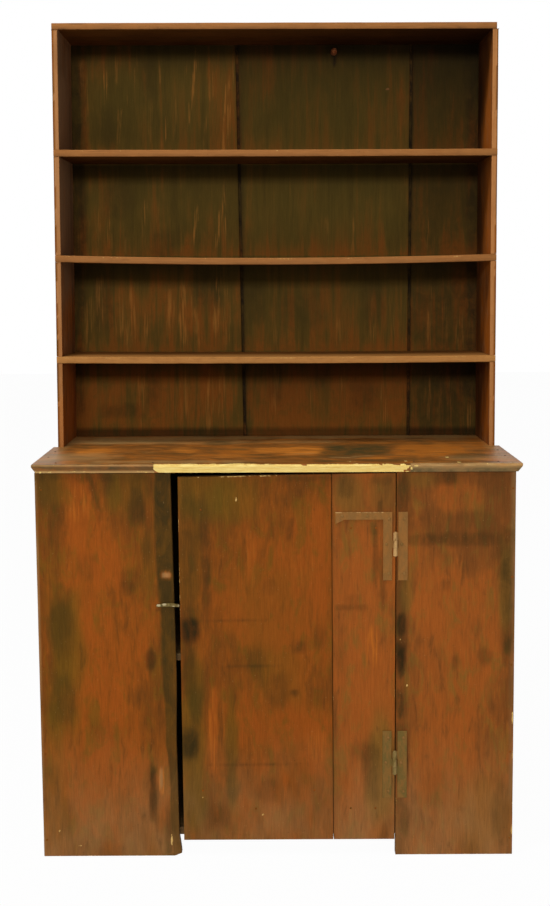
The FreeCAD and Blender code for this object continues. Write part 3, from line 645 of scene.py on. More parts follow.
frontPaint = agedWood("frontPaint", "Z", frontLook)
paleFrontPaint = agedWood("paleFrontPaint", "Z", paleFrontLook)
rackPaint = agedWood("rackPaint", "Z", rackLook)
rackSidePaint = agedWood("rackSidePaint", "Z", rackSideLook)
lipPaint = agedWood("lipPaint", "X", lipLook)
lowLipPaint = agedWood("lowLipPaint", "X", {**lipLook, "edge": "b07a40"})
worktopFinish = agedWood("worktopFinish", "X", worktopLook)
insideWood = {grain: agedWood("insideWood" + grain, grain, insideLook) for grain in "XYZ"}
pegWood = agedWood("pegWood", "Y", pegLook)
hingeIron = {
    "upper": forgedIron("upperHingeIron", hingeLook),
    "lower": forgedIron("lowerHingeIron", lowerHingeLook),
}
buttonIron = forgedIron("buttonIron", buttonLook)
nailIron = forgedIron("nailIron", nailLook)
hingeNailIron = forgedIron("hingeNailIron", hingeNailLook)
print("finishes made")

# The rack. Marks are soft ellipses: across, up, half width, half height, strength and tilt in degrees

rack = {
    "sag": {"shelf_upper": 1.0, "shelf_middle": 8.0, "shelf_lower": 2.0},   # mm, in the middle
    "ear": 25 * mm,        # front part of a shelf that runs over the side boards
    "gain": 25.2 * mm,     # the notch in a side board for it
    "housing": 5 * mm,     # the groove in a side board for the rest of a shelf's end
}
shelves = ("shelf_lower", "shelf_middle", "shelf_upper")
faceDeep = 2.5 * mm        # points this near to the plane of a face belong to it
# inside the right board, warm near the front and grime toward the back, both leaning, are painted light and
# painted shade: the lit front and the shaded back of each compartment. Inside the left one, warm and the wide
# streaks in the two lowest compartments are painted light, and grime along the back and at the top painted
# shade
sideMarks = {
    "left": {
        "edge": [(33, 1450, 5, 1200, 0.72)],
        "streak": [(150, 1760, 6, 80, 0.5, 4), (100, 1500, 7, 90, 0.4), (180, 1280, 8, 80, 0.4),
                   (150, 1030, 90, 100, 0.9), (160, 1250, 70, 90, 0.5)],
        "film": [(120, 1650, 160, 420, 0.8)],
        "warm": [(130, 1030, 120, 120, 1), (130, 1270, 110, 110, 0.6)],
        "grime": [(205, 1450, 14, 600, 0.3), (70, 1900, 80, 40, 0.2)],
    },
    "right": {
        "edge": [(33, 1450, 5, 1200, 0.95)],
        "warm": [(80, 1760, 80, 190, 1, -14), (80, 1490, 80, 120, 1, -14), (80, 1230, 70, 90, 1, -14),
                 (80, 1020, 70, 90, 1)],
        "streak": [(70, 1700, 26, 120, 0.5, -8), (64, 1470, 24, 90, 0.5, -8)],
        "grime": [(215, 1830, 40, 190, 0.5, -14), (215, 1540, 40, 130, 0.5, -14), (215, 1290, 40, 120, 0.5),
                  (210, 1040, 40, 110, 0.4)],
    },
}
# the narrow grime bands along the side walls, at x -532, -508, 526 and 528, are dirt and painted shade in the
# corners
backMarks = {
    "back_board_left": {
        "streak": [
            (-510, 1881, 6.0, 48, 0.5), (-446, 1852, 5.1, 57, 0.56, 1), (-418, 1904, 5.1, 44, 0.43),
            (-368, 1837, 4.2, 99, 0.43, -2), (-412, 1758, 5.1, 48, 0.52, -3),
            (-305, 1891, 5.1, 48, 0.36), (-217, 1851, 5.1, 101, 0.56, -7), (-168, 1858, 6.0, 55, 0.43),
            (-128, 1820, 6.0, 53, 0.68, -4), (-113, 1887, 5.1, 44, 0.36, -5),
            (-292, 1730, 5.1, 40, 0.52, -8), (-347, 1712, 5.1, 33, 0.43),
            (-136, 1733, 4.2, 55, 0.59, -2), (-470, 1497, 5.1, 88, 0.56, -2),
            (-440, 1475, 6.0, 46, 0.56), (-349, 1504, 6.0, 64, 0.43, -4),
            (-309, 1522, 5.1, 44, 0.43, -2), (-213, 1491, 5.1, 62, 0.66, -7),
            (-147, 1507, 6.0, 62, 0.68, -8), (-137, 1584, 6.0, 47, 0.36),
            (-501, 1241, 12.3, 77, 0.53, -2), (-467, 1271, 12.3, 88, 0.53),
            (-416, 1263, 12.3, 73, 0.49), (-382, 1261, 15.8, 99, 0.59, -3),
            (-349, 1213, 10.4, 54, 0.49, -4), (-282, 1270, 12.3, 64, 0.55, -6),
            (-245, 1249, 12.3, 87, 0.59), (-215, 1233, 10.4, 64, 0.59, 6),
            (-159, 1266, 10.4, 110, 0.62, -3), (-130, 1255, 10.4, 77, 0.31),
            (-358, 1088, 10.6, 44, 0.25), (-250, 1039, 15.2, 88, 0.44, -2),
            (-179, 1027, 10.6, 94, 0.49, -3), (-146, 1031, 10.6, 94, 0.44),
            (-366, 1028, 12.2, 61, 0.31), (-497, 1840, 5.1, 70, 0.4), (-262, 1800, 4.2, 70, 0.32, -3),
            (-390, 1800, 4.2, 60, 0.29), (-330, 1770, 5.1, 60, 0.29, -3),
            (-236, 1900, 3.4, 40, 0.32, -4), (-180, 1770, 4.2, 60, 0.36, -5),
            (-122, 1770, 5.1, 60, 0.5, -3), (-520, 1460, 5.1, 60, 0.36),
            (-250, 1460, 4.2, 50, 0.29, -4), (-134, 1470, 6.0, 60, 0.54, -3),
            (-498, 1460, 4.2, 60, 0.25), (-396, 1440, 4.2, 40, 0.32), (-190, 1440, 5.1, 44, 0.36, -4),
        ],
        "warm": [
            (-300, 1250, 240, 110, 0.5), (-310, 1030, 240, 110, 1), (-90, 1820, 14, 150, 0.5),
            (-500, 1800, 30, 110, 0.4), (-150, 1800, 50, 130, 0.3), (-500, 1470, 40, 70, 0.5),
            (-150, 1480, 50, 80, 0.5),
        ],
        "grime": [
            (-532, 1500, 22, 480, 0.6), (-508, 1800, 12, 170, 0.35), (-508, 1530, 10, 110, 0.3),
            (-330, 1060, 20, 60, 0.3), (-420, 1000, 60, 20, 0.3), (-460, 1300, 26, 80, 0.35),
            (-180, 1330, 40, 60, 0.35), (-330, 1880, 26, 60, 0.25), (-440, 1740, 26, 60, 0.25),
            (-300, 1440, 30, 40, 0.25), (-420, 1560, 40, 50, 0.3),
        ],
        "film": [
            (-300, 1800, 220, 130, 0.35), (-300, 1540, 220, 90, 0.35),
        ],
    },
    "back_board_middle": {
        "streak": [
            (45, 1547, 5, 55, 0.25, -2), (207, 1469, 5, 59, 0.44, -3), (137, 1480, 6, 47, 0.25),
            (167, 1203, 8, 54, 0.47, -2), (-1, 1228, 11.2, 68, 0.26), (259, 1235, 8, 76, 0.33),
            (311, 1242, 9.6, 76, 0.26), (-1, 1060, 11.2, 65, 0.47), (96, 1011, 9.6, 77, 0.26),
            (174, 1079, 11.2, 52, 0.47), (290, 1029, 14.4, 94, 0.4), (356, 1025, 8, 88, 0.4),
        ],
        "warm": [
            (150, 1030, 260, 110, 0.9), (150, 1230, 260, 80, 0.35), (60, 1000, 40, 60, 0.6),
            (320, 1010, 40, 60, 0.5), (150, 1480, 60, 50, 0.3),
        ],
        "grime": [
            (157, 1934, 6, 22, 0.9), (0, 1080, 22, 60, 0.3), (230, 1040, 40, 50, 0.3),
            (120, 1090, 26, 40, 0.25), (-60, 1300, 30, 60, 0.25), (260, 1300, 30, 80, 0.25),
            (60, 1270, 60, 50, 0.2),
        ],
        "film": [
            (130, 1790, 240, 150, 0.5), (130, 1530, 240, 110, 0.5), (130, 1290, 230, 90, 0.3),
        ],
        "bare": [
            (298, 1850, 5, 2.5, 0.9),
        ],
    },
    "back_board_right": {
        "streak": [
            (403, 1469, 5, 52, 0.5, -3), (409, 1260, 8, 99, 0.53), (452, 1241, 9.6, 68, 0.3),
            (490, 1221, 14.4, 50, 0.59, -2), (519, 1241, 9.6, 76, 0.33), (409, 1040, 9.6, 85, 0.56),
            (439, 1029, 9.6, 65, 0.33), (469, 1025, 9.6, 61, 0.33), (518, 978, 9.6, 44, 0.59, 3),
        ],
        "warm": [
            (450, 1240, 120, 110, 0.4), (450, 1040, 120, 110, 0.5),
        ],
        "grime": [
            (455, 1600, 120, 420, 0.22), (455, 1240, 120, 120, 0.3), (455, 1030, 120, 120, 0.4),
            (528, 1600, 24, 420, 0.45), (526, 1200, 16, 200, 0.4), (490, 1090, 60, 60, 0.3),
        ],
        "film": [
            (420, 1790, 70, 150, 0.35),
        ],
    },
}
# beneath each shelf the back has painted shadow, 1 - (1 - near * e^-(d / reach)^1.8) * (1 - far * (1 - d /
# length)), with d the distance down in mm. Just above the worktop it has painted shade again, by foot
backShade = {
    "back_board_left": {
        "foot": 0.66, "top_board": (0.72, 54, 0, 1), "shelf_upper": (0.6, 44, 0.1, 120),
        "shelf_middle": (0.6, 56, 0.1, 90), "shelf_lower": (0.7, 52, 0, 1),
    },
    "back_board_middle": {
        "foot": 0.5, "top_board": (0.62, 42, 0.55, 270), "shelf_upper": (0.58, 46, 0.1, 120),
        "shelf_middle": (0.5, 50, 0.3, 190), "shelf_lower": (0.72, 62, 0.25, 200),
    },
    "back_board_right": {
        "foot": 0.68, "top_board": (0.4, 30, 0.8, 340), "shelf_upper": (0.3, 36, 0.55, 250),
        "shelf_middle": (0.45, 46, 0.3, 220), "shelf_lower": (0.62, 56, 0.35, 230),
    },
}
lipMarks = {
    "edge": [(0, 31, 1200, 4.5, 0.85)],
    "warm": [(0, 100, 900, 130, 0.8)],
    "grime": [(-300, 150, 200, 40, 0.3), (260, 170, 240, 50, 0.35)],
}
# how dark a shelf's front edge is toward its under arris, painted shade, and how bare its upper arris is,
# rubbed and a painted highlight
lipWearAndShade = {"shelf_upper": (0.45, 0.42), "shelf_middle": (0.35, 0.5), "shelf_lower": (0.25, 0.55)}
# how much painted shade darkens the side boards' inner faces, from the lowest compartment up
sideShade = {"left": (0.0, 0.0, 0.08, 0.1), "right": (0.45, 0.0, 0.5, 0.75)}
rackFront = cadBox("side_board_left")[0][1]
rackBack = cadBox("side_board_left")[1][1]


def sideBoard(side):
    node = "side_board_" + side
    low, high = cadBox(node)
    bands = [(cadBox(shelf)[0][2], cadBox(shelf)[1][2] + 0.2 * mm) for shelf in rack["sag"]]

    def outline(l):
        # the front edge steps back behind each shelf's ear, and the inner face is let in for the shelf
        inBand = sum((l > bottom) & (l < top) for bottom, top in bands)
        front = low[1] + inBand * rack["gain"]
        left = low[0] + inBand * rack["housing"] * (side == "right")
        right = high[0] - inBand * rack["housing"] * (side == "left")
        return [(front, right), (high[1], right), (high[1], left), (front, left)]

    outer = high[0] if side == "right" else low[0]
    floors = [cadBox("worktop")[1][2], *sorted(top for bottom, top in bands)]
    ceilings = [*sorted(bottom for bottom, top in bands), cadBox("top_board")[0][2]]

    def finish(points):
        # the second finish outside. Inside is painted shade: with h the part of a compartment's height, the
        # left board is dark by strength * (0.7 + 0.3 h), the right one by strength * the larger of h^3 and a
        # leaning step
        x, y, z = np.moveaxis(points, -1, 0)
        inner = (abs(x - outer) > 5 * mm) & (y > low[1] + 1.5 * mm)
        depth = (y - low[1]) / (high[1] - low[1])
        waver = 0.25 * roughNoise(spread(0, y / (30 * mm), z / (70 * mm)), 15, 3)
        shade = np.zeros(x.shape)
        for strength, ground, ceiling in zip(sideShade[side], floors, ceilings):
            h = np.clip((z - ground) / (ceiling - ground), 0, 1)
            lean = smoothStep(-0.15, 0.55, depth + 0.9 * h - 0.7 + waver)
            part = np.maximum(lean, h ** 3) if side == "right" else 0.7 + 0.3 * h
            shade = np.where((z > ground - mm) & (z < ceiling + mm), strength * part, shade)
        return {"other": abs(x - outer) < 3 * mm, "shade": shade * inner}

    shell = board((low[2], high[2]), "ZYX", outline, steps=[edge for band in bands for edge in band],
                  seed=11 if side == "left" else 14, face=(1, 2), marks=sideMarks[side], rub=0.25,
                  extra=finish)
    piece(node, [shell], rackSidePaint, "case", [node])


def lipShade(low, high, marks=0.35, rubbed=0.42, under=(0.45, 0.6), pale=0.8):
    # a front edge that is rubbed at its upper arris, which also stands for a painted highlight there, and has
    # painted shade toward its under one, with a top that has painted light in front. The under face has
    # painted shade, by the two numbers of under from its left end to its right one
    def shade(points):
        x, y, z = np.moveaxis(points, -1, 0)
        part = (z - low[2]) / (high[2] - low[2])
        onFace = y < low[1] + 6 * mm
        uneven = 0.75 + 0.35 * roughNoise(spread(x / (35 * mm), part, 0), 6, 3)
        paintedTopLight = (part > 0.95) * fading(y - low[1], 110 * mm)
        beneath = (part < 0.04) * between(*under, low[0], high[0], x)
        return {"grime": onFace * marks * smoothStep(0.65, 0.05, part) * uneven,
                "edge": np.maximum(paintedTopLight * 0.9, onFace * pale),
                "bare": onFace * rubbed * smoothStep(0.5, 0.78, part) * smoothStep(1.05, 0.85, part) * uneven,
                "shade": beneath * np.where(y < low[1] + 3 * mm, 0.3, 1)}
    return shade


def shelf(node, seed):
    low, high = cadBox(node)
    inner = cadPoints(node)
    reach = inner[inner[:, 1] > rackBack - mm][:, 0].max()

    def outline(l):
        # full depth between the side boards, and only an ear's depth in front of them
        back = np.where(abs(l) > reach, rackFront + rack["ear"], high[1])
        return [(low[1], low[2]), (back, low[2]), (back, high[2]), (low[1], high[2])]

    def sagging(points):
        # lower by sag * (1 - (x / half)^2)
        points[..., 2] -= rack["sag"][node] * mm * (1 - (points[..., 0] / high[0]) ** 2)
        return points

    shell = board((low[0], high[0]), "XYZ", outline, steps=(-reach, reach), seed=seed, face=(0, 1),
                  bend=sagging, wear={0: 1.6, 3: 2.2}, marks=lipMarks, rub=0.3,
                  extra=lipShade(low, high, *lipWearAndShade[node]))
    piece(node, [shell], lowLipPaint if node == "shelf_lower" else lipPaint, "case", [node])


def backBoard(node, seed):
    low, high = cadBox(node)
    middle = (low[1] + high[1]) / 2
    front = spanAt(node, low[2], low[1]), spanAt(node, high[2], low[1])
    rear = spanAt(node, low[2], high[1]), spanAt(node, high[2], high[1])
    lapped = abs(np.subtract(front[0], rear[0])) > mm

    def edges(layer, height):
        # X of both long edges of the front or the rear layer at a height
        return [between(foot, top, low[2], high[2], height) for foot, top in zip(*layer)]

    def outline(l):
        # a front layer and a rear layer, each with its own leaning edges: the half laps
        (frontLeft, frontRight), (rearLeft, rearRight) = edges(front, l), edges(rear, l)
        corners = [(frontLeft, low[1]), (frontRight, low[1])]
        if lapped[1]:
            corners += [(frontRight, middle), (rearRight, middle)]
        corners += [(rearRight, high[1]), (rearLeft, high[1])]
        if lapped[0]:
            corners += [(rearLeft, middle), (frontLeft, middle)]
        return corners

    floors = [cadBox(under)[1][2] for under in ("worktop", *shelves)]

    def seamsAndPaintedLight(points):
        # the rear has the second finish and dark seams. The laps and the edges beside a joint are grimy, what
        # is under a shelf has painted shadow by backShade, and the foot of each compartment is warm: painted
        # light
        x, y, z = np.moveaxis(points, -1, 0)
        (frontLeft, frontRight), (rearLeft, rearRight) = edges(front, z), edges(rear, z)
        onFront, onRear = y < low[1] + faceDeep, y > high[1] - faceDeep
        grime = 0.7 * fading(x - frontLeft, 6 * mm) * (low[0] > -0.5)
        grime = np.maximum(grime, 0.4 * fading(frontRight - x, 3 * mm) * (high[0] < 0.5))
        grime = np.maximum(grime, 0.95 * (~onFront & ~onRear))
        shade = backShade[node]["foot"] * smoothStep(28 * mm, 14 * mm, z - floors[0])
        for over, ground in zip((*shelves, "top_board"), floors):
            near, reach, far, length = backShade[node][over]
            ceiling = cadBox(over)[0][2]
            below = np.maximum(ceiling - z, 0) / mm
            left = 1 - near * np.exp(-(below / reach) ** 1.8)
            left = left * (1 - far * np.clip(1 - below / length, 0, 1))
            shade = np.where((z < ceiling + mm) & (z > ground), 1 - (1 - shade) * left, shade)
        seam = 0.6 * fading(np.minimum(x - rearLeft, rearRight - x), 3 * mm)
        above = np.min([np.where(z > floor, z - floor, 1) for floor in floors], axis=0)
        return {"other": y > high[1] - 2 * mm, "grime": grime, "warm": 0.9 * fading(above, 45 * mm),
                "shade": np.maximum(shade * onFront, seam * onRear)}

    shell = board((low[2], high[2]), "ZXY", outline, seed=seed, across=3.3 * mm, worn=0.8 * mm,
                  marks=backMarks[node], rub=0.1, extra=seamsAndPaintedLight, coarse=range(1, 8))
    piece(node, [shell], rackPaint, "case", [node])


for side in ("left", "right"):
    sideBoard(side)
topShade = lipShade(*cadBox("top_board"), 0.6, under=(0.4, 0.8), pale=0.6)
topShell = plainBoard("top_board", "XYZ", seed=21, face=(0, 1), marks=lipMarks, rub=0.3, extra=topShade)
piece("top_board", [topShell], lipPaint, "case", ["top_board"])
for seed, node in enumerate(rack["sag"], 31):
    shelf(node, seed)
for seed, node in enumerate(backMarks, 41):
    backBoard(node, seed)
print("rack built")

# The base

worktopMaking = {
    "bevelWide": 9 * mm, "bevelHigh": 15 * mm,
    "rawFrom": -283 * mm, "rawTo": 306 * mm,    # ends of the stretch that is worn to bare wood
    "splitAt": -370 * mm,
    "broken": 2.2 * mm,                         # how far the edge is broken back
    "paintLeft": 3.4,                           # mm of paint that is left under the arris, toward the right
}
worktopMarks = {
    "bare": [
        (402, -159, 4, 6, 0.9), (418, -236, 4, 4, 0.9), (298, -218, 5, 4, 0.7), (170, -225, 14, 3, 0.5),
    ],
    "streak": [
        (-454, -55, 40, 60, 0.8), (-224, -27, 50, 50, 0.7), (-16, -33, 50, 50, 0.9),
        (53, -35, 60, 66, 1), (20, 140, 50, 40, 0.8), (-88, -131, 60, 40, 0.5),
        (221, -170, 40, 12, 0.9), (382, -43, 80, 110, 0.4),
    ],
    "warm": [
        (382, -43, 90, 110, 0.9), (0, -60, 200, 80, 0.6), (-420, -60, 60, 80, 0.5),
    ],
    "edge": [
        (-250, 196, 400, 30, 0.6), (330, 206, 300, 30, 0.6), (-440, 130, 130, 44, 0.7),
        (-200, 120, 160, 40, 0.35), (60, 120, 110, 30, 0.35), (-470, -130, 80, 60, 0.35),
        (-240, -216, 180, 22, 0.4), (-460, -200, 90, 50, 0.15), (-540, 0, 20, 300, 0.25),
        (160, -160, 34, 9, 0.5, -14), (205, -136, 30, 8, 0.5, 20), (60, -96, 40, 8, 0.35, 12),
        (470, -170, 70, 40, 0.25), (540, -60, 20, 240, 0.25), (-380, 150, 120, 20, 0.4),
        (400, 150, 90, 24, 0.3),
    ],
    "grime": [
        (198, -39, 90, 100, 1), (150, -60, 40, 80, 0.6), (-366, -171, 26, 22, 0.4),
        (-153, 96, 30, 30, 0.6), (-507, 33, 35, 50, 0.3), (461, -129, 48, 44, 0.5),
        (122, -215, 46, 16, 0.6), (-303, 138, 156, 22, 0.3), (60, -140, 60, 16, 0.5),
        (300, -190, 30, 30, 0.5), (-120, -20, 60, 18, 0.5), (-260, -80, 70, 14, 0.4, -6),
        (-40, -110, 40, 20, 0.45), (290, 60, 50, 30, 0.4), (240, -200, 60, 14, 0.4),
    ],
    "shade": [
        (0, 237, 900, 5, 0.5),
    ],
}
frontMarks = {
    "front_stile_left": {
        "warm": [
            (-450, 820, 50, 110, 1), (-420, 560, 70, 220, 0.9), (-330, 560, 50, 200, 0.6),
            (-380, 330, 70, 140, 0.9), (-400, 200, 130, 140, 0.6),
        ],
        "streak": [
            (-259, 670, 13, 9, 1), (-450, 840, 40, 50, 0.5), (-273, 178, 7, 36, 1),
        ],
        "edge": [
            (-259, 670, 10, 7, 0.8), (-273, 178, 3.5, 30, 0.8),
        ],
        "film": [
            (-490, 480, 40, 180, 0.59), (-375, 860, 20, 56, 0.49), (-520, 880, 36, 50, 0.42),
            (-330, 880, 50, 60, 0.42), (-300, 700, 22, 70, 0.28), (-520, 200, 30, 160, 0.28),
        ],
        # the last one, under the turn button at (-262, 590), is painted shadow
        "grime": [
            (-418, 850, 10, 60, 0.56, 12), (-390, 880, 14, 40, 0.4), (-321, 828, 24, 40, 0.65),
            (-300, 760, 14, 70, 0.36), (-295, 471, 14, 26, 0.69), (-292, 156, 10, 66, 0.73),
            (-500, 560, 28, 70, 0.4), (-498, 380, 26, 70, 0.33), (-505, 790, 24, 50, 0.36),
            (-340, 660, 24, 22, 0.29), (-450, 902, 110, 12, 0.4), (-350, 640, 16, 16, 0.33),
            (-255, 60, 10, 60, 0.4), (-310, 890, 40, 40, 0.4), (-530, 870, 20, 60, 0.36),
            (-440, 690, 30, 30, 0.2), (-400, 300, 40, 40, 0.16), (-262, 590, 20, 6, 0.5),
        ],
        "bare": [
            (-528, 833, 3.5, 3, 0.9), (-512, 63, 3, 4, 0.85, -30), (-304, 71, 3, 3, 0.8),
            (-308, 23, 2.5, 4, 0.8), (-465, 25, 4, 2, 0.7), (-250, 40, 4, 14, 0.6),
            (-400, 2, 200, 2.5, 0.45),
        ],
        "shade": [
            (-500, 520, 24, 90, 0.12), (-318, 830, 20, 36, 0.1), (-296, 471, 11, 20, 0.2),
            (-294, 160, 8, 56, 0.25),
        ],
    },
    "front_stile_right": {
        "warm": [
            (430, 850, 70, 40, 0.9), (400, 600, 80, 110, 1), (380, 300, 60, 180, 0.8),
            (470, 540, 40, 140, 0.7), (420, 180, 130, 160, 0.7), (420, 420, 110, 120, 0.8),
        ],
        "film": [
            (300, 620, 18, 60, 0.42), (530, 640, 18, 120, 0.5), (330, 890, 50, 24, 0.42),
            (480, 100, 70, 90, 0.35),
        ],
        "grime": [
            (397, 895, 18, 18, 0.59), (420, 785, 110, 40, 0.28), (413, 463, 11, 18, 0.4),
            (481, 475, 18, 20, 0.37), (520, 120, 26, 60, 0.31), (390, 645, 10, 14, 0.31),
            (350, 880, 20, 30, 0.25), (450, 905, 120, 8, 0.31), (500, 880, 30, 26, 0.25),
            (370, 160, 30, 40, 0.15), (330, 750, 46, 13, 0.35), (400, 752, 60, 16, 0.42),
            (470, 750, 60, 16, 0.45), (532, 745, 24, 34, 0.5), (286, 552, 13, 32, 0.85),
            (287, 470, 15, 46, 0.92), (285, 370, 11, 38, 0.8), (293, 228, 14, 70, 0.65),
            (296, 90, 11, 60, 0.5), (290, 860, 18, 80, 0.6), (532, 640, 14, 60, 0.5),
            (536, 500, 12, 60, 0.4), (537, 600, 16, 120, 0.55), (524, 690, 20, 40, 0.4),
            (385, 905, 30, 30, 0.5),
        ],
        "bare": [
            (285, 514, 2.5, 2.5, 0.9), (301, 408, 3, 4, 0.8), (435, 42, 2.5, 2.5, 0.9),
            (547, 330, 2, 14, 0.7), (548, 240, 2, 10, 0.7), (420, 2, 200, 2.5, 0.45),
            (548, 60, 2, 20, 0.6),
        ],
        "shade": [
            (287, 470, 12, 40, 0.45), (287, 552, 10, 26, 0.35), (290, 860, 14, 70, 0.15),
            (294, 230, 11, 50, 0.25),
        ],
    },
    "door_board_wide": {
        "warm": [
            (40, 620, 90, 220, 0.9), (-60, 660, 50, 160, 0.6), (90, 270, 30, 80, 1),
            (-150, 300, 10, 110, 1), (0, 330, 80, 80, 0.6), (60, 760, 50, 60, 0.6),
        ],
        "streak": [
            (-152, 300, 8, 110, 0.6), (-128, 320, 7, 80, 0.35), (90, 262, 22, 44, 0.35),
            (-60, 690, 9, 70, 0.3), (60, 690, 30, 60, 0.25),
        ],
        "film": [
            (-170, 870, 66, 56, 0.45), (-204, 740, 26, 160, 0.3), (-110, 850, 70, 50, 0.42),
            (-200, 220, 30, 180, 0.52), (-108, 260, 14, 140, 0.52), (0, 430, 60, 70, 0.28),
            (-30, 560, 80, 120, 0.21), (-190, 440, 24, 80, 0.35),
        ],
        "grime": [
            (-168, 780, 12, 100, 0.46, 3), (-164, 640, 9, 90, 0.39, 2), (-212, 575, 16, 22, 0.39),
            (-208, 268, 20, 34, 0.58), (-190, 350, 14, 70, 0.39), (30, 783, 9, 28, 0.62, -8),
            (52, 861, 12, 14, 0.39), (51, 500, 18, 18, 0.43), (39, 391, 9, 9, 0.59),
            (-5, 395, 24, 44, 0.35), (-100, 566, 70, 3, 0.39), (-60, 455, 70, 3, 0.35),
            (-108, 200, 16, 70, 0.39), (-140, 100, 34, 44, 0.39), (-30, 160, 30, 30, 0.35),
            (-60, 222, 100, 3, 0.43), (-50, 470, 20, 30, 0.31), (80, 895, 90, 6, 0.39),
            (-80, 790, 14, 30, 0.28), (-20, 640, 14, 20, 0.24), (100, 520, 14, 30, 0.24),
            (-40, 500, 240, 460, 0.12), (-204, 545, 24, 28, 0.95), (-205, 470, 18, 90, 0.4),
            (-203, 268, 20, 40, 0.6), (-206, 760, 22, 150, 0.45), (-170, 700, 20, 60, 0.3),
        ],
        "bare": [
            (-95, 850, 2, 5, 0.8), (-176, 144, 3, 3, 0.8, 30), (-37, 99, 3, 3, 0.8, 30),
            (54, 712, 2, 2, 0.8), (-134, 676, 2, 2, 0.8),
        ],
        "shade": [
            (-204, 545, 22, 27, 0.34), (-208, 450, 14, 70, 0.2), (-206, 270, 18, 30, 0.15),
        ],
    },
    "door_board_narrow": {
        "warm": [
            (200, 730, 40, 60, 1), (190, 560, 40, 120, 0.7), (200, 420, 50, 110, 1),
            (170, 320, 30, 60, 0.5), (200, 480, 90, 420, 0.55),
        ],
        "streak": [
            (220, 500, 14, 50, 0.5),
        ],
        "film": [
            (240, 220, 30, 130, 0.59), (160, 860, 34, 40, 0.42), (240, 860, 30, 40, 0.28),
        ],
        # (243, 680) and (226, 720), beside the upper hinge's door leaf, are painted shadow of the leaf
        "grime": [
            (157, 879, 20, 28, 0.52), (237, 826, 6, 24, 0.64), (218, 205, 20, 66, 0.48),
            (243, 680, 9, 70, 0.48), (226, 720, 7, 70, 0.6), (165, 592, 36, 9, 0.37),
            (226, 780, 12, 16, 0.37), (150, 470, 12, 70, 0.23), (240, 890, 30, 10, 0.37),
            (175, 610, 16, 16, 0.23), (200, 250, 24, 24, 0.23),
        ],
        "bare": [
            (172, 272, 2, 2, 0.7),
        ],
    },
}


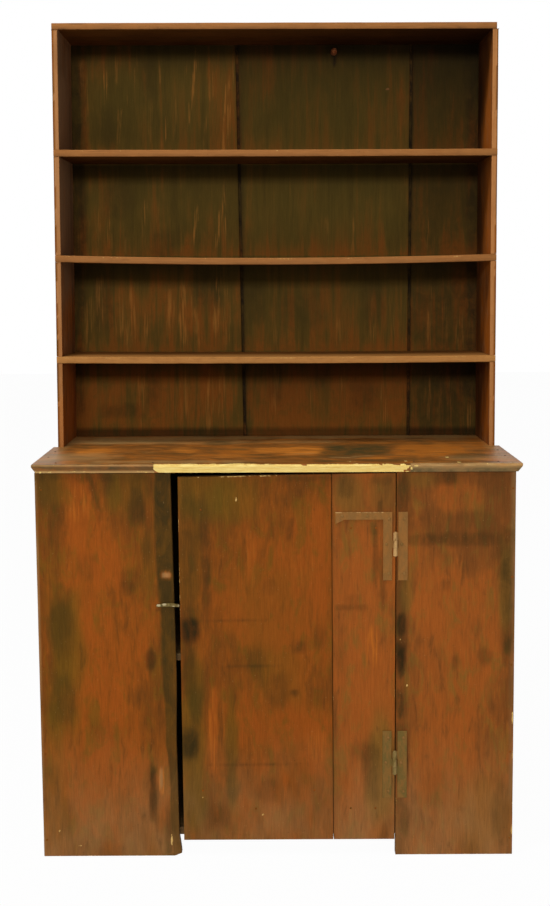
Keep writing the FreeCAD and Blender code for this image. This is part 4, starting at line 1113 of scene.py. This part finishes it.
def worktop():
    low, high = cadBox("worktop")
    points = cadPoints("worktop")
    narrow = points[points[:, 1] > rackBack - mm][:, 0].max()
    wide, tall = worktopMaking["bevelWide"], worktopMaking["bevelHigh"]

    def outline(l):
        # an undercut bevel along the front that runs up to nothing at the ends
        near = np.minimum(l - low[0], high[0] - l)
        part = np.clip(near / wide, 0.04, 1)
        back = np.where(abs(l) > narrow, rackFront - 0.2 * mm, high[1])
        under = low[2] + tall * (1 - part)
        return [(low[1] + wide * part, under), (back, under), (back, high[2]), (low[1], high[2]),
                (low[1], low[2] + tall)]

    def rawness(points):
        # 1 on the front and its bevel between rawFrom and rawTo, with ends rounded off and torn by noise, and
        # on the top for 4 mm, more or less by noise. Toward the right some paint is left under the arris
        x, y, z = np.moveaxis(points, -1, 0)
        torn = roughNoise(spread(x / (11 * mm), z / (5 * mm), 0), 28, 3)
        rounded = 7 * mm * (abs(z - high[2] + 8 * mm) / (10 * mm)) ** 2
        raw = smoothStep(-2 * mm, 2 * mm, x - worktopMaking["rawFrom"] - rounded + 4 * mm * torn)
        raw *= smoothStep(-2 * mm, 2 * mm, worktopMaking["rawTo"] - x - 2 * rounded + 26 * mm * torn)
        limit = low[1] + (4 + 9 * roughNoise(spread(x / (16 * mm), 0, 0), 8, 4)) * mm
        under = z < low[2] + tall + mm
        fine = roughNoise(spread(x / (9 * mm), 0, 0), 18, 3)
        most = worktopMaking["paintLeft"]
        paintTo = high[2] - (np.clip(between(0, most, -0.1, 0.3, x), 0, most) + 0.8 * fine) * mm
        onTop = smoothStep(limit + 1.5 * mm, limit, y) * smoothStep(paintTo + 0.9 * mm, paintTo, z)
        return raw * np.maximum(onTop, under & (y < low[1] + wide))

    def lipFinish(points):
        # raw in the middle. Left of it a pale line on each arris, and between them a dark face, partly
        # painted shade, darkest at a split. Right of it a worn face, bare in places along the upper arris and
        # dark toward the lower one, partly painted shade
        x, y, z = np.moveaxis(points, -1, 0)
        raw = rawness(points)
        onFace = (y < low[1] + wide + mm) & (z < high[2] + mm)
        left, right = x < worktopMaking["rawFrom"], x > worktopMaking["rawTo"]
        rough = roughNoise(spread(x / (26 * mm), z / (5 * mm), 0), 77, 4)
        upper = smoothStep(high[2] - 5 * mm, high[2] - 2 * mm, z) * (y < low[1] + 3 * mm)
        lower = smoothStep(low[2] + tall * 0.5, low[2] + tall * 0.25, z) * (y < low[1] + wide + 2 * mm)
        pale = smoothStep(-0.6, 0.4, rough)
        split = smoothStep(30 * mm, 10 * mm, abs(x - worktopMaking["splitAt"]))
        split = split * smoothStep(0.35, 0.0, abs(rough))
        bare = left * (upper * pale * 0.4 + lower * (0.2 + 0.25 * pale))
        bare = bare + right * upper * 0.35 * smoothStep(0.0, 0.4, rough)
        edge = right * (0.7 + 0.2 * rough) + left * np.maximum(upper * 0.6, lower * 0.85)
        middle = left * (1 - upper) * (1 - lower) * (0.6 + 0.35 * split)
        down = right * smoothStep(low[2] + tall * 1.15, low[2] + tall * 0.4, z) * 0.8
        grime = np.maximum(down, right * 0.35 * smoothStep(0.0, -0.5, rough))
        return {"bare": np.maximum(raw, bare * onFace), "edge": edge * onFace,
                "grime": np.maximum(middle, grime) * onFace}

    def brokenEdge(points):
        # the front is broken back by noise, fully where it is raw and by under a third of that elsewhere
        x, y, z = np.moveaxis(points, -1, 0)
        broken = np.clip(0.4 + roughNoise(spread(x / (14 * mm), z / (9 * mm), 0), 3, 4), 0, 1)
        depth = broken * (0.3 + 0.7 * rawness(points)) * worktopMaking["broken"]
        front = smoothStep(14 * mm, 2 * mm, y - low[1])
        points[..., 1] += depth * front
        points[..., 2] -= depth * front * smoothStep(high[2] - 3 * mm, high[2], z) * 0.9
        return points

    shell = board((low[0], high[0]), "XYZ", outline, steps=(-narrow, narrow), seed=51, face=(0, 1),
                  wear={3: 1.5}, along=4 * mm, across=3 * mm, marks=worktopMarks, bend=brokenEdge, rub=0.5,
                  extra=lipFinish, coarse=(1,))
    piece("worktop", [shell], worktopFinish, "case", ["worktop"])


def sideLine(node, sign):
    # the outermost chain of a node's corners on one side, as heights and X: each turn of it bends inwards.
    # What runs on along the top is left off
    chain = []
    for z, x in np.unique(np.round(cadPoints(node)[:, [2, 0]] * [1, sign], 6), axis=0):
        while len(chain) > 1:
            (z1, x1), (z2, x2) = chain[-2:]
            if (x2 - x1) * (z - z1) > (x - x1) * (z2 - z1):
                break
            chain.pop()
        if chain and z - chain[-1][0] < 1e-6:
            chain.pop()
        chain.append((z, x))
    while abs(chain[-1][1] - chain[-2][1]) > 4 * (chain[-1][0] - chain[-2][0]):
        chain.pop()
    heights, places = np.array(chain).T
    return heights, places * sign


frontMaking = {
    "hollow": {"front_stile_left": 5 * mm},         # how far an inner edge is hollowed near its foot
    "footDust": 0.5, "topGrime": 0.24, "seamGrime": 0.4,
    "edgeDust": {"left": 0.75, "right": 0.6},       # along the outer edge of a stile
    "stripWide": (24, 45),                          # mm, the left stile's dark strip at its foot and at 0.9 m
    "knots": [(-259, 670, 14, 10, 1), (-273, 178, 7, 38, 0.9)],     # spots that the strip leaves out
    "chips": 0.62,                                  # how bare the door's top and free edge are in places
    "doorBoard": {"end": 0.6 * mm, "worn": 0.7 * mm, "arris": 0.7 * mm},
}


def upright(node, seed, body="case", paint=frontPaint, **making):
    # a board whose long edges may lean and whose top may slope, after its CAD corners
    low, high = cadBox(node)
    left, right = sideLine(node, -1), sideLine(node, 1)
    heads = left[0][-1], right[0][-1]
    hollow = frontMaking["hollow"].get(node, 0)

    def outline(l):
        # hollowed a little near the foot of the inner edge
        a, b = np.interp(l, *left), np.interp(l, *right)
        b = b - hollow * smoothStep(0, 0.06, l) * smoothStep(0.45, 0.25, l)
        return [(a, low[1]), (b, low[1]), (b, high[1]), (a, high[1])]

    def sloped(points):
        # heights scaled so that the top meets the line between the two upper corners
        head = between(*heads, left[1][-1], right[1][-1], points[..., 0])
        points[..., 2] = low[2] + (points[..., 2] - low[2]) * (head - low[2]) / (high[2] - low[2])
        return points

    def finish(points):
        # the second finish behind. In front dusty feet and outer edges, a darker top, dark seams, and what is
        # one board's own: the left stile's dark strip with its knots, and the door's pale, chipped arrises
        x, y, z = np.moveaxis(points, -1, 0)
        front = y < low[1] + faceDeep
        uneven = np.clip(0.7 + 0.6 * roughNoise(spread(x / (50 * mm), 0, z / (90 * mm)), seed + 3, 4), 0.2, 1)
        fromLeft, fromRight = x - np.interp(z, *left), np.interp(z, *right) - x
        dust = frontMaking["footDust"] * smoothStep(0.34, 0.0, z) * uneven
        grime = frontMaking["topGrime"] * smoothStep(0.72, 0.9, z) * uneven
        layers = {"other": y > low[1] + 5 * mm}
        if node == "front_stile_left":
            outer = frontMaking["edgeDust"]["left"] * smoothStep(8 * mm, 2 * mm, fromLeft)
            dust = np.maximum(dust, outer * uneven)
            wide = between(*frontMaking["stripWide"], 0, 0.9, z) * mm
            strip = smoothStep(1.0, 0.8, fromRight / wide + 0.25 * (uneven - 0.7))
            strip = strip * (1 - spotValue(x, z, frontMaking["knots"], 3))
            grime = np.maximum(grime, strip * np.interp(z, [0, 0.2, 0.9], [0.4, 0.66, 0.9]))
            layers["film"] = 0.4 * strip * front
        if node == "front_stile_right":
            outer = frontMaking["edgeDust"]["right"] * smoothStep(16 * mm, 4 * mm, fromRight)
            dust = np.maximum(dust, outer * uneven)
            band = smoothStep(30 * mm, 6 * mm, fromRight + 8 * mm * uneven)
            band = band * smoothStep(0.0, 5 * mm, fromRight)
            grime = np.maximum(grime, 0.35 * smoothStep(34 * mm, 22 * mm, fromLeft + 8 * mm * uneven))
            grime = np.maximum(grime, band * uneven * np.interp(z, [0.1, 0.6, 0.9], [0.3, 0.6, 0.3]))
        if node == "door_board_wide":
            chips = roughNoise(spread(x / (30 * mm), 0, z / (40 * mm)), 5, 3)
            pale = smoothStep(-0.55, 0.1, chips) * front
            top = (z > high[2] - 1.6 * mm) * smoothStep(60 * mm, -40 * mm, x)
            free = (fromLeft < 1.6 * mm) * smoothStep(0.45, 0.6, z)
            layers["bare"] = pale * frontMaking["chips"] * np.maximum(top, free * 0.8)
            grime = np.maximum(grime, frontMaking["seamGrime"] * fading(fromRight, 4 * mm))
        if node == "door_board_narrow":
            grime = np.maximum(grime, frontMaking["seamGrime"] * fading(fromLeft, 4 * mm))
        layers["edge"], layers["grime"] = dust * front, grime * front
        return layers

    steps = sorted({*left[0][1:-1], *right[0][1:-1]})
    shell = board((low[2], high[2]), "ZXY", outline, steps=steps, seed=seed, marks=frontMarks[node],
                  extra=finish, coarse=(2,), bend=sloped, **making)
    piece(node, [shell], paint, body, [node])


worktop()
upright("front_stile_left", 61)
upright("front_stile_right", 62, paint=paleFrontPaint)
upright("door_board_wide", 71, "door", **frontMaking["doorBoard"])
upright("door_board_narrow", 72, "door", paleFrontPaint, **frontMaking["doorBoard"])
for side, seed in (("left", 65), ("right", 66)):
    node = "side_front_board_" + side
    outer = cadBox(node)[side == "right"][0]
    shell = plainBoard(node, "ZYX", seed=seed, face=(1, 2),
                       extra=lambda points: {"other": abs(points[..., 0] - outer) > 5 * mm})
    piece(node, [shell], frontPaint, "case", [node])
print("base and door boards built")

insideBoards = {
    "bottom_board": "XYZ", "inner_shelf": "XYZ",
    "bottom_cleat_left": "YXZ", "bottom_cleat_right": "YXZ",
    "inner_shelf_cleat_left": "YXZ", "inner_shelf_cleat_right": "YXZ",
    "worktop_cleat_left": "YXZ", "worktop_cleat_right": "YXZ",
    "door_batten_upper": "XZY", "door_batten_lower": "XZY",
}
for seed, (node, axes) in enumerate(insideBoards.items(), 81):
    body = "door" if node.startswith("door") else "case"
    shell = plainBoard(node, axes, seed=seed, face=(0, 1), rub=0.4, across=8 * mm, along=9 * mm)
    piece(node, [shell], insideWood[axes[0]], body, [node])
print("inside boards and battens built")

# Iron, nails and the peg

def turned(profile, centre, axis, around=28, wobble=0.0, seed=0, marks=None):
    # (radius, height) pairs carried round an axis; the radius wavers by wobble * noise
    radius, height = np.array(profile).T
    turn = np.linspace(0, 2 * np.pi, around, endpoint=False)
    place = spread(3 * np.cos(turn), 3 * np.sin(turn), height[:, None] / (6 * mm))
    r = radius[:, None] * (1 - wobble * (0.5 + 0.5 * smoothNoise(place, seed)))
    points = np.empty((len(radius), around, 3))
    points[..., (axis + 1) % 3] = centre[(axis + 1) % 3] + r * np.cos(turn)
    points[..., (axis + 2) % 3] = centre[(axis + 2) % 3] + r * np.sin(turn)
    points[..., axis] = height[:, None]
    return skin(points, {"board": seed * 0.37, **(marks or {})})


leafMaking = {
    "arris": 0.45 * mm, "worn": 0.4 * mm, "end": 0.5 * mm, "along": 2 * mm, "across": 2.5 * mm,
    "planeDepth": 0.0, "warp": 0.25 * mm, "rub": 0.55,
}
hingeMaking = {
    "thick": 2.5 * mm,                             # of a leaf
    "inner": 7 * mm,                               # the pin's axis to the near edge of a leaf
    "outer": {"door": 28 * mm, "stile": 29 * mm},  # and to the far edge
    "web": 1.5 * mm,                               # and to where a web stops
    "knuckle": 5 * mm, "pin": 1.9 * mm,            # radii
    "armTall": 18 * mm, "armBack": 0.15 * mm, "flareLong": 20 * mm, "flareDrop": 10 * mm,
    "knuckleBare": 0.62, "pinBare": 0.6,
}


def knuckleSpans(node, axisPlace):
    # heights between which a leaf is rolled round the pin
    points = cadPoints(node)
    away = np.hypot(points[:, 0] - axisPlace[0], points[:, 1] - axisPlace[1])
    near = away < hingeMaking["knuckle"] + 0.2 * mm
    heights = np.unique(np.round(points[near, 2], 4))
    return heights.reshape(-1, 2)


def hingeLeaf(hinge, which, seed):
    # a hammered strip with its knuckles, and on the door the upper one's long arm
    node = "hinge_" + hinge + "_" + which + "_leaf"
    low, high = cadBox(node)
    pinLow, pinHigh = cadBox("hinge_" + hinge + "_pin")
    axisPlace = (pinLow + pinHigh) / 2
    toPin = 1 if which == "door" else -1
    spans = knuckleSpans(node, axisPlace)
    face = high[1] - hingeMaking["thick"]
    near = axisPlace[0] - toPin * hingeMaking["inner"]
    far = axisPlace[0] - toPin * hingeMaking["outer"][which]

    def outline(l):
        # a plain strip, with webs out to the knuckles
        inWeb = sum((l > bottom) & (l < top) for bottom, top in spans) > 0
        toward = np.where(inWeb, axisPlace[0] - toPin * hingeMaking["web"], near)
        left, right = np.minimum(toward, far), np.maximum(toward, far)
        return [(left, face), (right, face), (right, high[1]), (left, high[1])]

    def armOutline(l):
        # the arm's underside drops by flareDrop * t, with t from 0 to 1 over the last flareLong of it
        t = np.clip((low[0] + hingeMaking["flareLong"] - l) / hingeMaking["flareLong"], 0, 1)
        under = high[2] - hingeMaking["armTall"] - hingeMaking["flareDrop"] * t
        front = face + hingeMaking["armBack"]
        return [(front, under), (high[1], under), (high[1], high[2]), (front, high[2])]

    steps = [edge for span in spans for edge in span]
    shells = [board((low[2], high[2]), "ZXY", outline, steps=steps, seed=seed, **leafMaking)]
    if hinge == "upper" and which == "door":
        marks = {"bare": [(200, high[2] / mm - 1, 90, 2.2, 0.55)]}
        ends = low[0], far + 4 * mm
        shells.append(board(ends, "XYZ", armOutline, seed=seed + 40, marks=marks, **leafMaking))
    r = hingeMaking["knuckle"]
    for bottom, top in spans:
        profile = [(r * 0.55, bottom), (r * 0.9, bottom), (r, bottom + 0.5 * mm)]
        profile += [(r, h) for h in np.linspace(bottom + 2 * mm, top - 2 * mm, 6)]
        profile += [(r, top - 0.5 * mm), (r * 0.9, top), (r * 0.55, top)]
        rubbed = {"bare": hingeMaking["knuckleBare"]}
        shells.append(turned(profile, axisPlace, 2, wobble=0.06, seed=seed, marks=rubbed))
    piece(node, shells, hingeIron[hinge], "door" if which == "door" else "case", [node])


def hingePin(hinge, seed):
    # a plain shank with a blunt tip below and a low rounded head above the knuckles
    node = "hinge_" + hinge + "_pin"
    low, high = cadBox(node)
    centre = (low + high) / 2
    r = (high[0] - low[0]) / 2
    shank = hingeMaking["pin"]
    profile = [(0.5 * mm, low[2]), (1.6 * mm, low[2] + 0.3 * mm), (shank, low[2] + mm)]
    profile += [(shank, h) for h in np.linspace(low[2] + 3 * mm, high[2] - 2.7 * mm, 5)]
    profile += [(r, high[2] - 2.4 * mm), (r, high[2] - 1.4 * mm)]
    profile += [(r * 0.8, high[2] - 0.5 * mm), (0.3 * mm, high[2])]
    shell = turned(profile, centre, 2, 18, 0.08, seed, {"bare": hingeMaking["pinBare"]})
    piece(node, [shell], hingeIron[hinge], "case", [node])


def separateSolids(node):
    # the corners of each separate solid in a node: every corner takes the lowest number that reaches it along
    # the edges, and those with the same number belong together
    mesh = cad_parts[node].data
    spots, same = np.unique(np.round(cadPoints(node), 5), axis=0, return_inverse=True)
    pairs = np.empty(len(mesh.edges) * 2, dtype=np.int32)
    mesh.edges.foreach_get("vertices", pairs)
    pairs = same.reshape(-1)[pairs].reshape(-1, 2)
    label = np.arange(len(spots))
    while True:
        lowest = label[pairs].min(axis=1)
        fresh = label.copy()
        np.minimum.at(fresh, pairs[:, 0], lowest)
        np.minimum.at(fresh, pairs[:, 1], lowest)
        fresh = fresh[fresh]
        if (fresh == label).all():
            break
        label = fresh
    return [spots[label == one] for one in np.unique(label)]


nailMaking = {
    "around": 10,                        # points of a ring
    "endPart": 1.2 * mm,                 # the wider of the two ends within this length is the head
    "largeHead": 3 * mm,                 # radius; a larger head rises by the first number, others by the
    "rise": (1.6 * mm, 0.8 * mm),        # second
    "tip": 0.12, "neck": 0.42,           # shank, as parts of the head's radius
}


def nailSet(node, material, body, seed):
    # forged nails: a square shank that tapers to its point, under a head of five hammered facets.
    # Head radius at angle a is R * (1 - 0.07 * (1 - cos 5a) / 2), less a little chance
    chance = np.random.default_rng(seed)
    turn = np.linspace(0, 2 * np.pi, nailMaking["around"], endpoint=False)
    square = 1 + 0.18 * np.cos(4 * turn)
    shells = []
    for solid in separateSolids(node):
        low, high = solid.min(axis=0), solid.max(axis=0)
        axis = int(np.argmax(high - low))
        others = [(axis + 1) % 3, (axis + 2) % 3]
        atTop = solid[solid[:, axis] > high[axis] - nailMaking["endPart"]][:, others]
        atFoot = solid[solid[:, axis] < low[axis] + nailMaking["endPart"]][:, others]
        up = np.ptp(atTop, axis=0).max() > np.ptp(atFoot, axis=0).max()
        head, tip = (high[axis], low[axis]) if up else (low[axis], high[axis])
        way = 1 if up else -1
        radius = (high[others] - low[others]).max() / 2
        facets = 1 - 0.035 * (1 - np.cos(5 * turn + chance.uniform(0, 6)))
        facets = facets - chance.uniform(0, 0.04, len(turn))
        rise = nailMaking["rise"][0 if radius > nailMaking["largeHead"] else 1]
        rings = [
            (nailMaking["tip"] * radius * square, tip),
            (nailMaking["neck"] * radius * square, head - way * (rise + 0.6 * mm)),
            (facets * radius * 0.93, head - way * rise),
            (facets * radius, head - way * rise * 0.72),
            (facets * radius * 0.8, head - way * rise * 0.35),
            (facets * radius * 0.3, head - way * 0.02 * mm),
        ]
        points = np.empty((len(rings), len(turn), 3))
        middle = (low + high) / 2
        for row, (r, place) in enumerate(rings):
            points[row, :, others[0]] = middle[others[0]] + r * np.cos(turn)
            points[row, :, others[1]] = middle[others[1]] + r * np.sin(turn)
            points[row, :, axis] = place
        shells.append(skin(points, {"board": chance.uniform(0, 50), "bare": chance.uniform(0, 0.4)}))
    piece(node, shells, material, body, [node], sharp=20)


buttonMaking = {
    "half": 4 * mm, "taper": 1.1 * mm,    # half height at the pivot, and what it loses toward the tips
    "droop": 2.5 * mm, "thin": 0.5 * mm,
    "strip": {"arris": 0.9 * mm, "worn": 0.6 * mm, "end": 1.6 * mm, "along": 1.5 * mm, "across": 1.5 * mm,
              "planeDepth": 0.0, "warp": 0.5 * mm, "rub": 0.6},
}
# on the turn button the bare spots are rubbed iron and painted highlights on its bumps, and the grime spots
# between them painted shade
buttonMarks = {
    "bare": [(-228, 600, 6, 6, 0.6), (-275, 600, 5, 3, 0.6), (-261, 602, 6, 3, 0.7), (-241, 598, 6, 3, 0.6)],
    "grime": [(-268, 598, 2, 4, 0.7), (-251, 602, 3, 3, 0.6), (-232, 602, 3, 3, 0.4)],
}


def turnButton():
    # a forged strip whose arms hang down by droop * t^1.4, with t the part of the way from the pivot to a tip
    node = "turn_button"
    low, high = cadBox(node)
    nailLow, nailHigh = cadBox("turn_button_nail")
    pivot = (nailLow + nailHigh) / 2
    reach = np.array([pivot[0] - low[0], high[0] - pivot[0]])
    middle = (low[2] + buttonMaking["droop"] + high[2]) / 2

    def outline(l):
        t = np.where(l < pivot[0], (pivot[0] - l) / reach[0], (l - pivot[0]) / reach[1])
        half = buttonMaking["half"] - buttonMaking["taper"] * smoothStep(0.1, 0.9, t)
        centre = middle - buttonMaking["droop"] * t ** 1.4
        front, under, over = low[1] + buttonMaking["thin"] * t, centre - half, centre + half
        return [(front, under), (high[1], under), (high[1], over), (front, over)]

    shell = board((low[0], high[0]), "XYZ", outline, seed=95, marks=buttonMarks, **buttonMaking["strip"])
    piece(node, [shell], buttonIron, "turn_button", [node])


pegMaking = {"inHole": 6 * mm, "whittled": 0.10, "marks": {"bare": 0.25, "streak": 0.5}}


def hangingPeg():
    # a whittled stick with a rounded tip, thicker toward the board by a straight line, whose radius wavers
    node = "hanging_peg"
    low, high = cadBox(node)
    wide = (high[0] - low[0]) / 2
    face = cadBox("back_board_middle")[0][1]
    middle = (low + high) / 2
    profile = [(0.2 * mm, low[1]), (wide * 0.5, low[1] + 0.4 * mm), (wide * 0.74, low[1] + 2 * mm)]
    first = low[1] + 4 * mm
    profile += [(between(wide * 0.78, wide, first, face, y), y) for y in np.linspace(first, face, 7)]
    hidden = pegMaking["inHole"]
    profile += [(hidden, face + 0.01 * mm), (hidden, high[1] - mm), (hidden - mm, high[1])]
    shell = turned(profile, middle, 1, 40, pegMaking["whittled"], 9, pegMaking["marks"])
    piece(node, [shell], pegWood, "case", [node])


for seed, hinge in enumerate(("upper", "lower"), 90):
    hingeLeaf(hinge, "door", seed)
    hingeLeaf(hinge, "stile", seed + 3)
    hingePin(hinge, seed + 6)
turnButton()
hangingPeg()
print("hinges, turn button and peg built")

nailSets = {
    "stile_nails": (frontPaint, "case"), "batten_nails": (frontPaint, "door"),
    "cleat_nails": (nailIron, "case"), "shelf_nails": (nailIron, "case"),
    "top_board_nails": (nailIron, "case"), "worktop_nails": (nailIron, "case"),
    "back_board_nails": (nailIron, "case"), "hinge_nails_door": (hingeNailIron, "door"),
    "hinge_nails_stile": (hingeNailIron, "case"), "turn_button_nail": (buttonIron, "case"),
}
for seed, (node, (material, body)) in enumerate(nailSets.items(), 101):
    nailSet(node, material, body, seed)
print("nails driven")
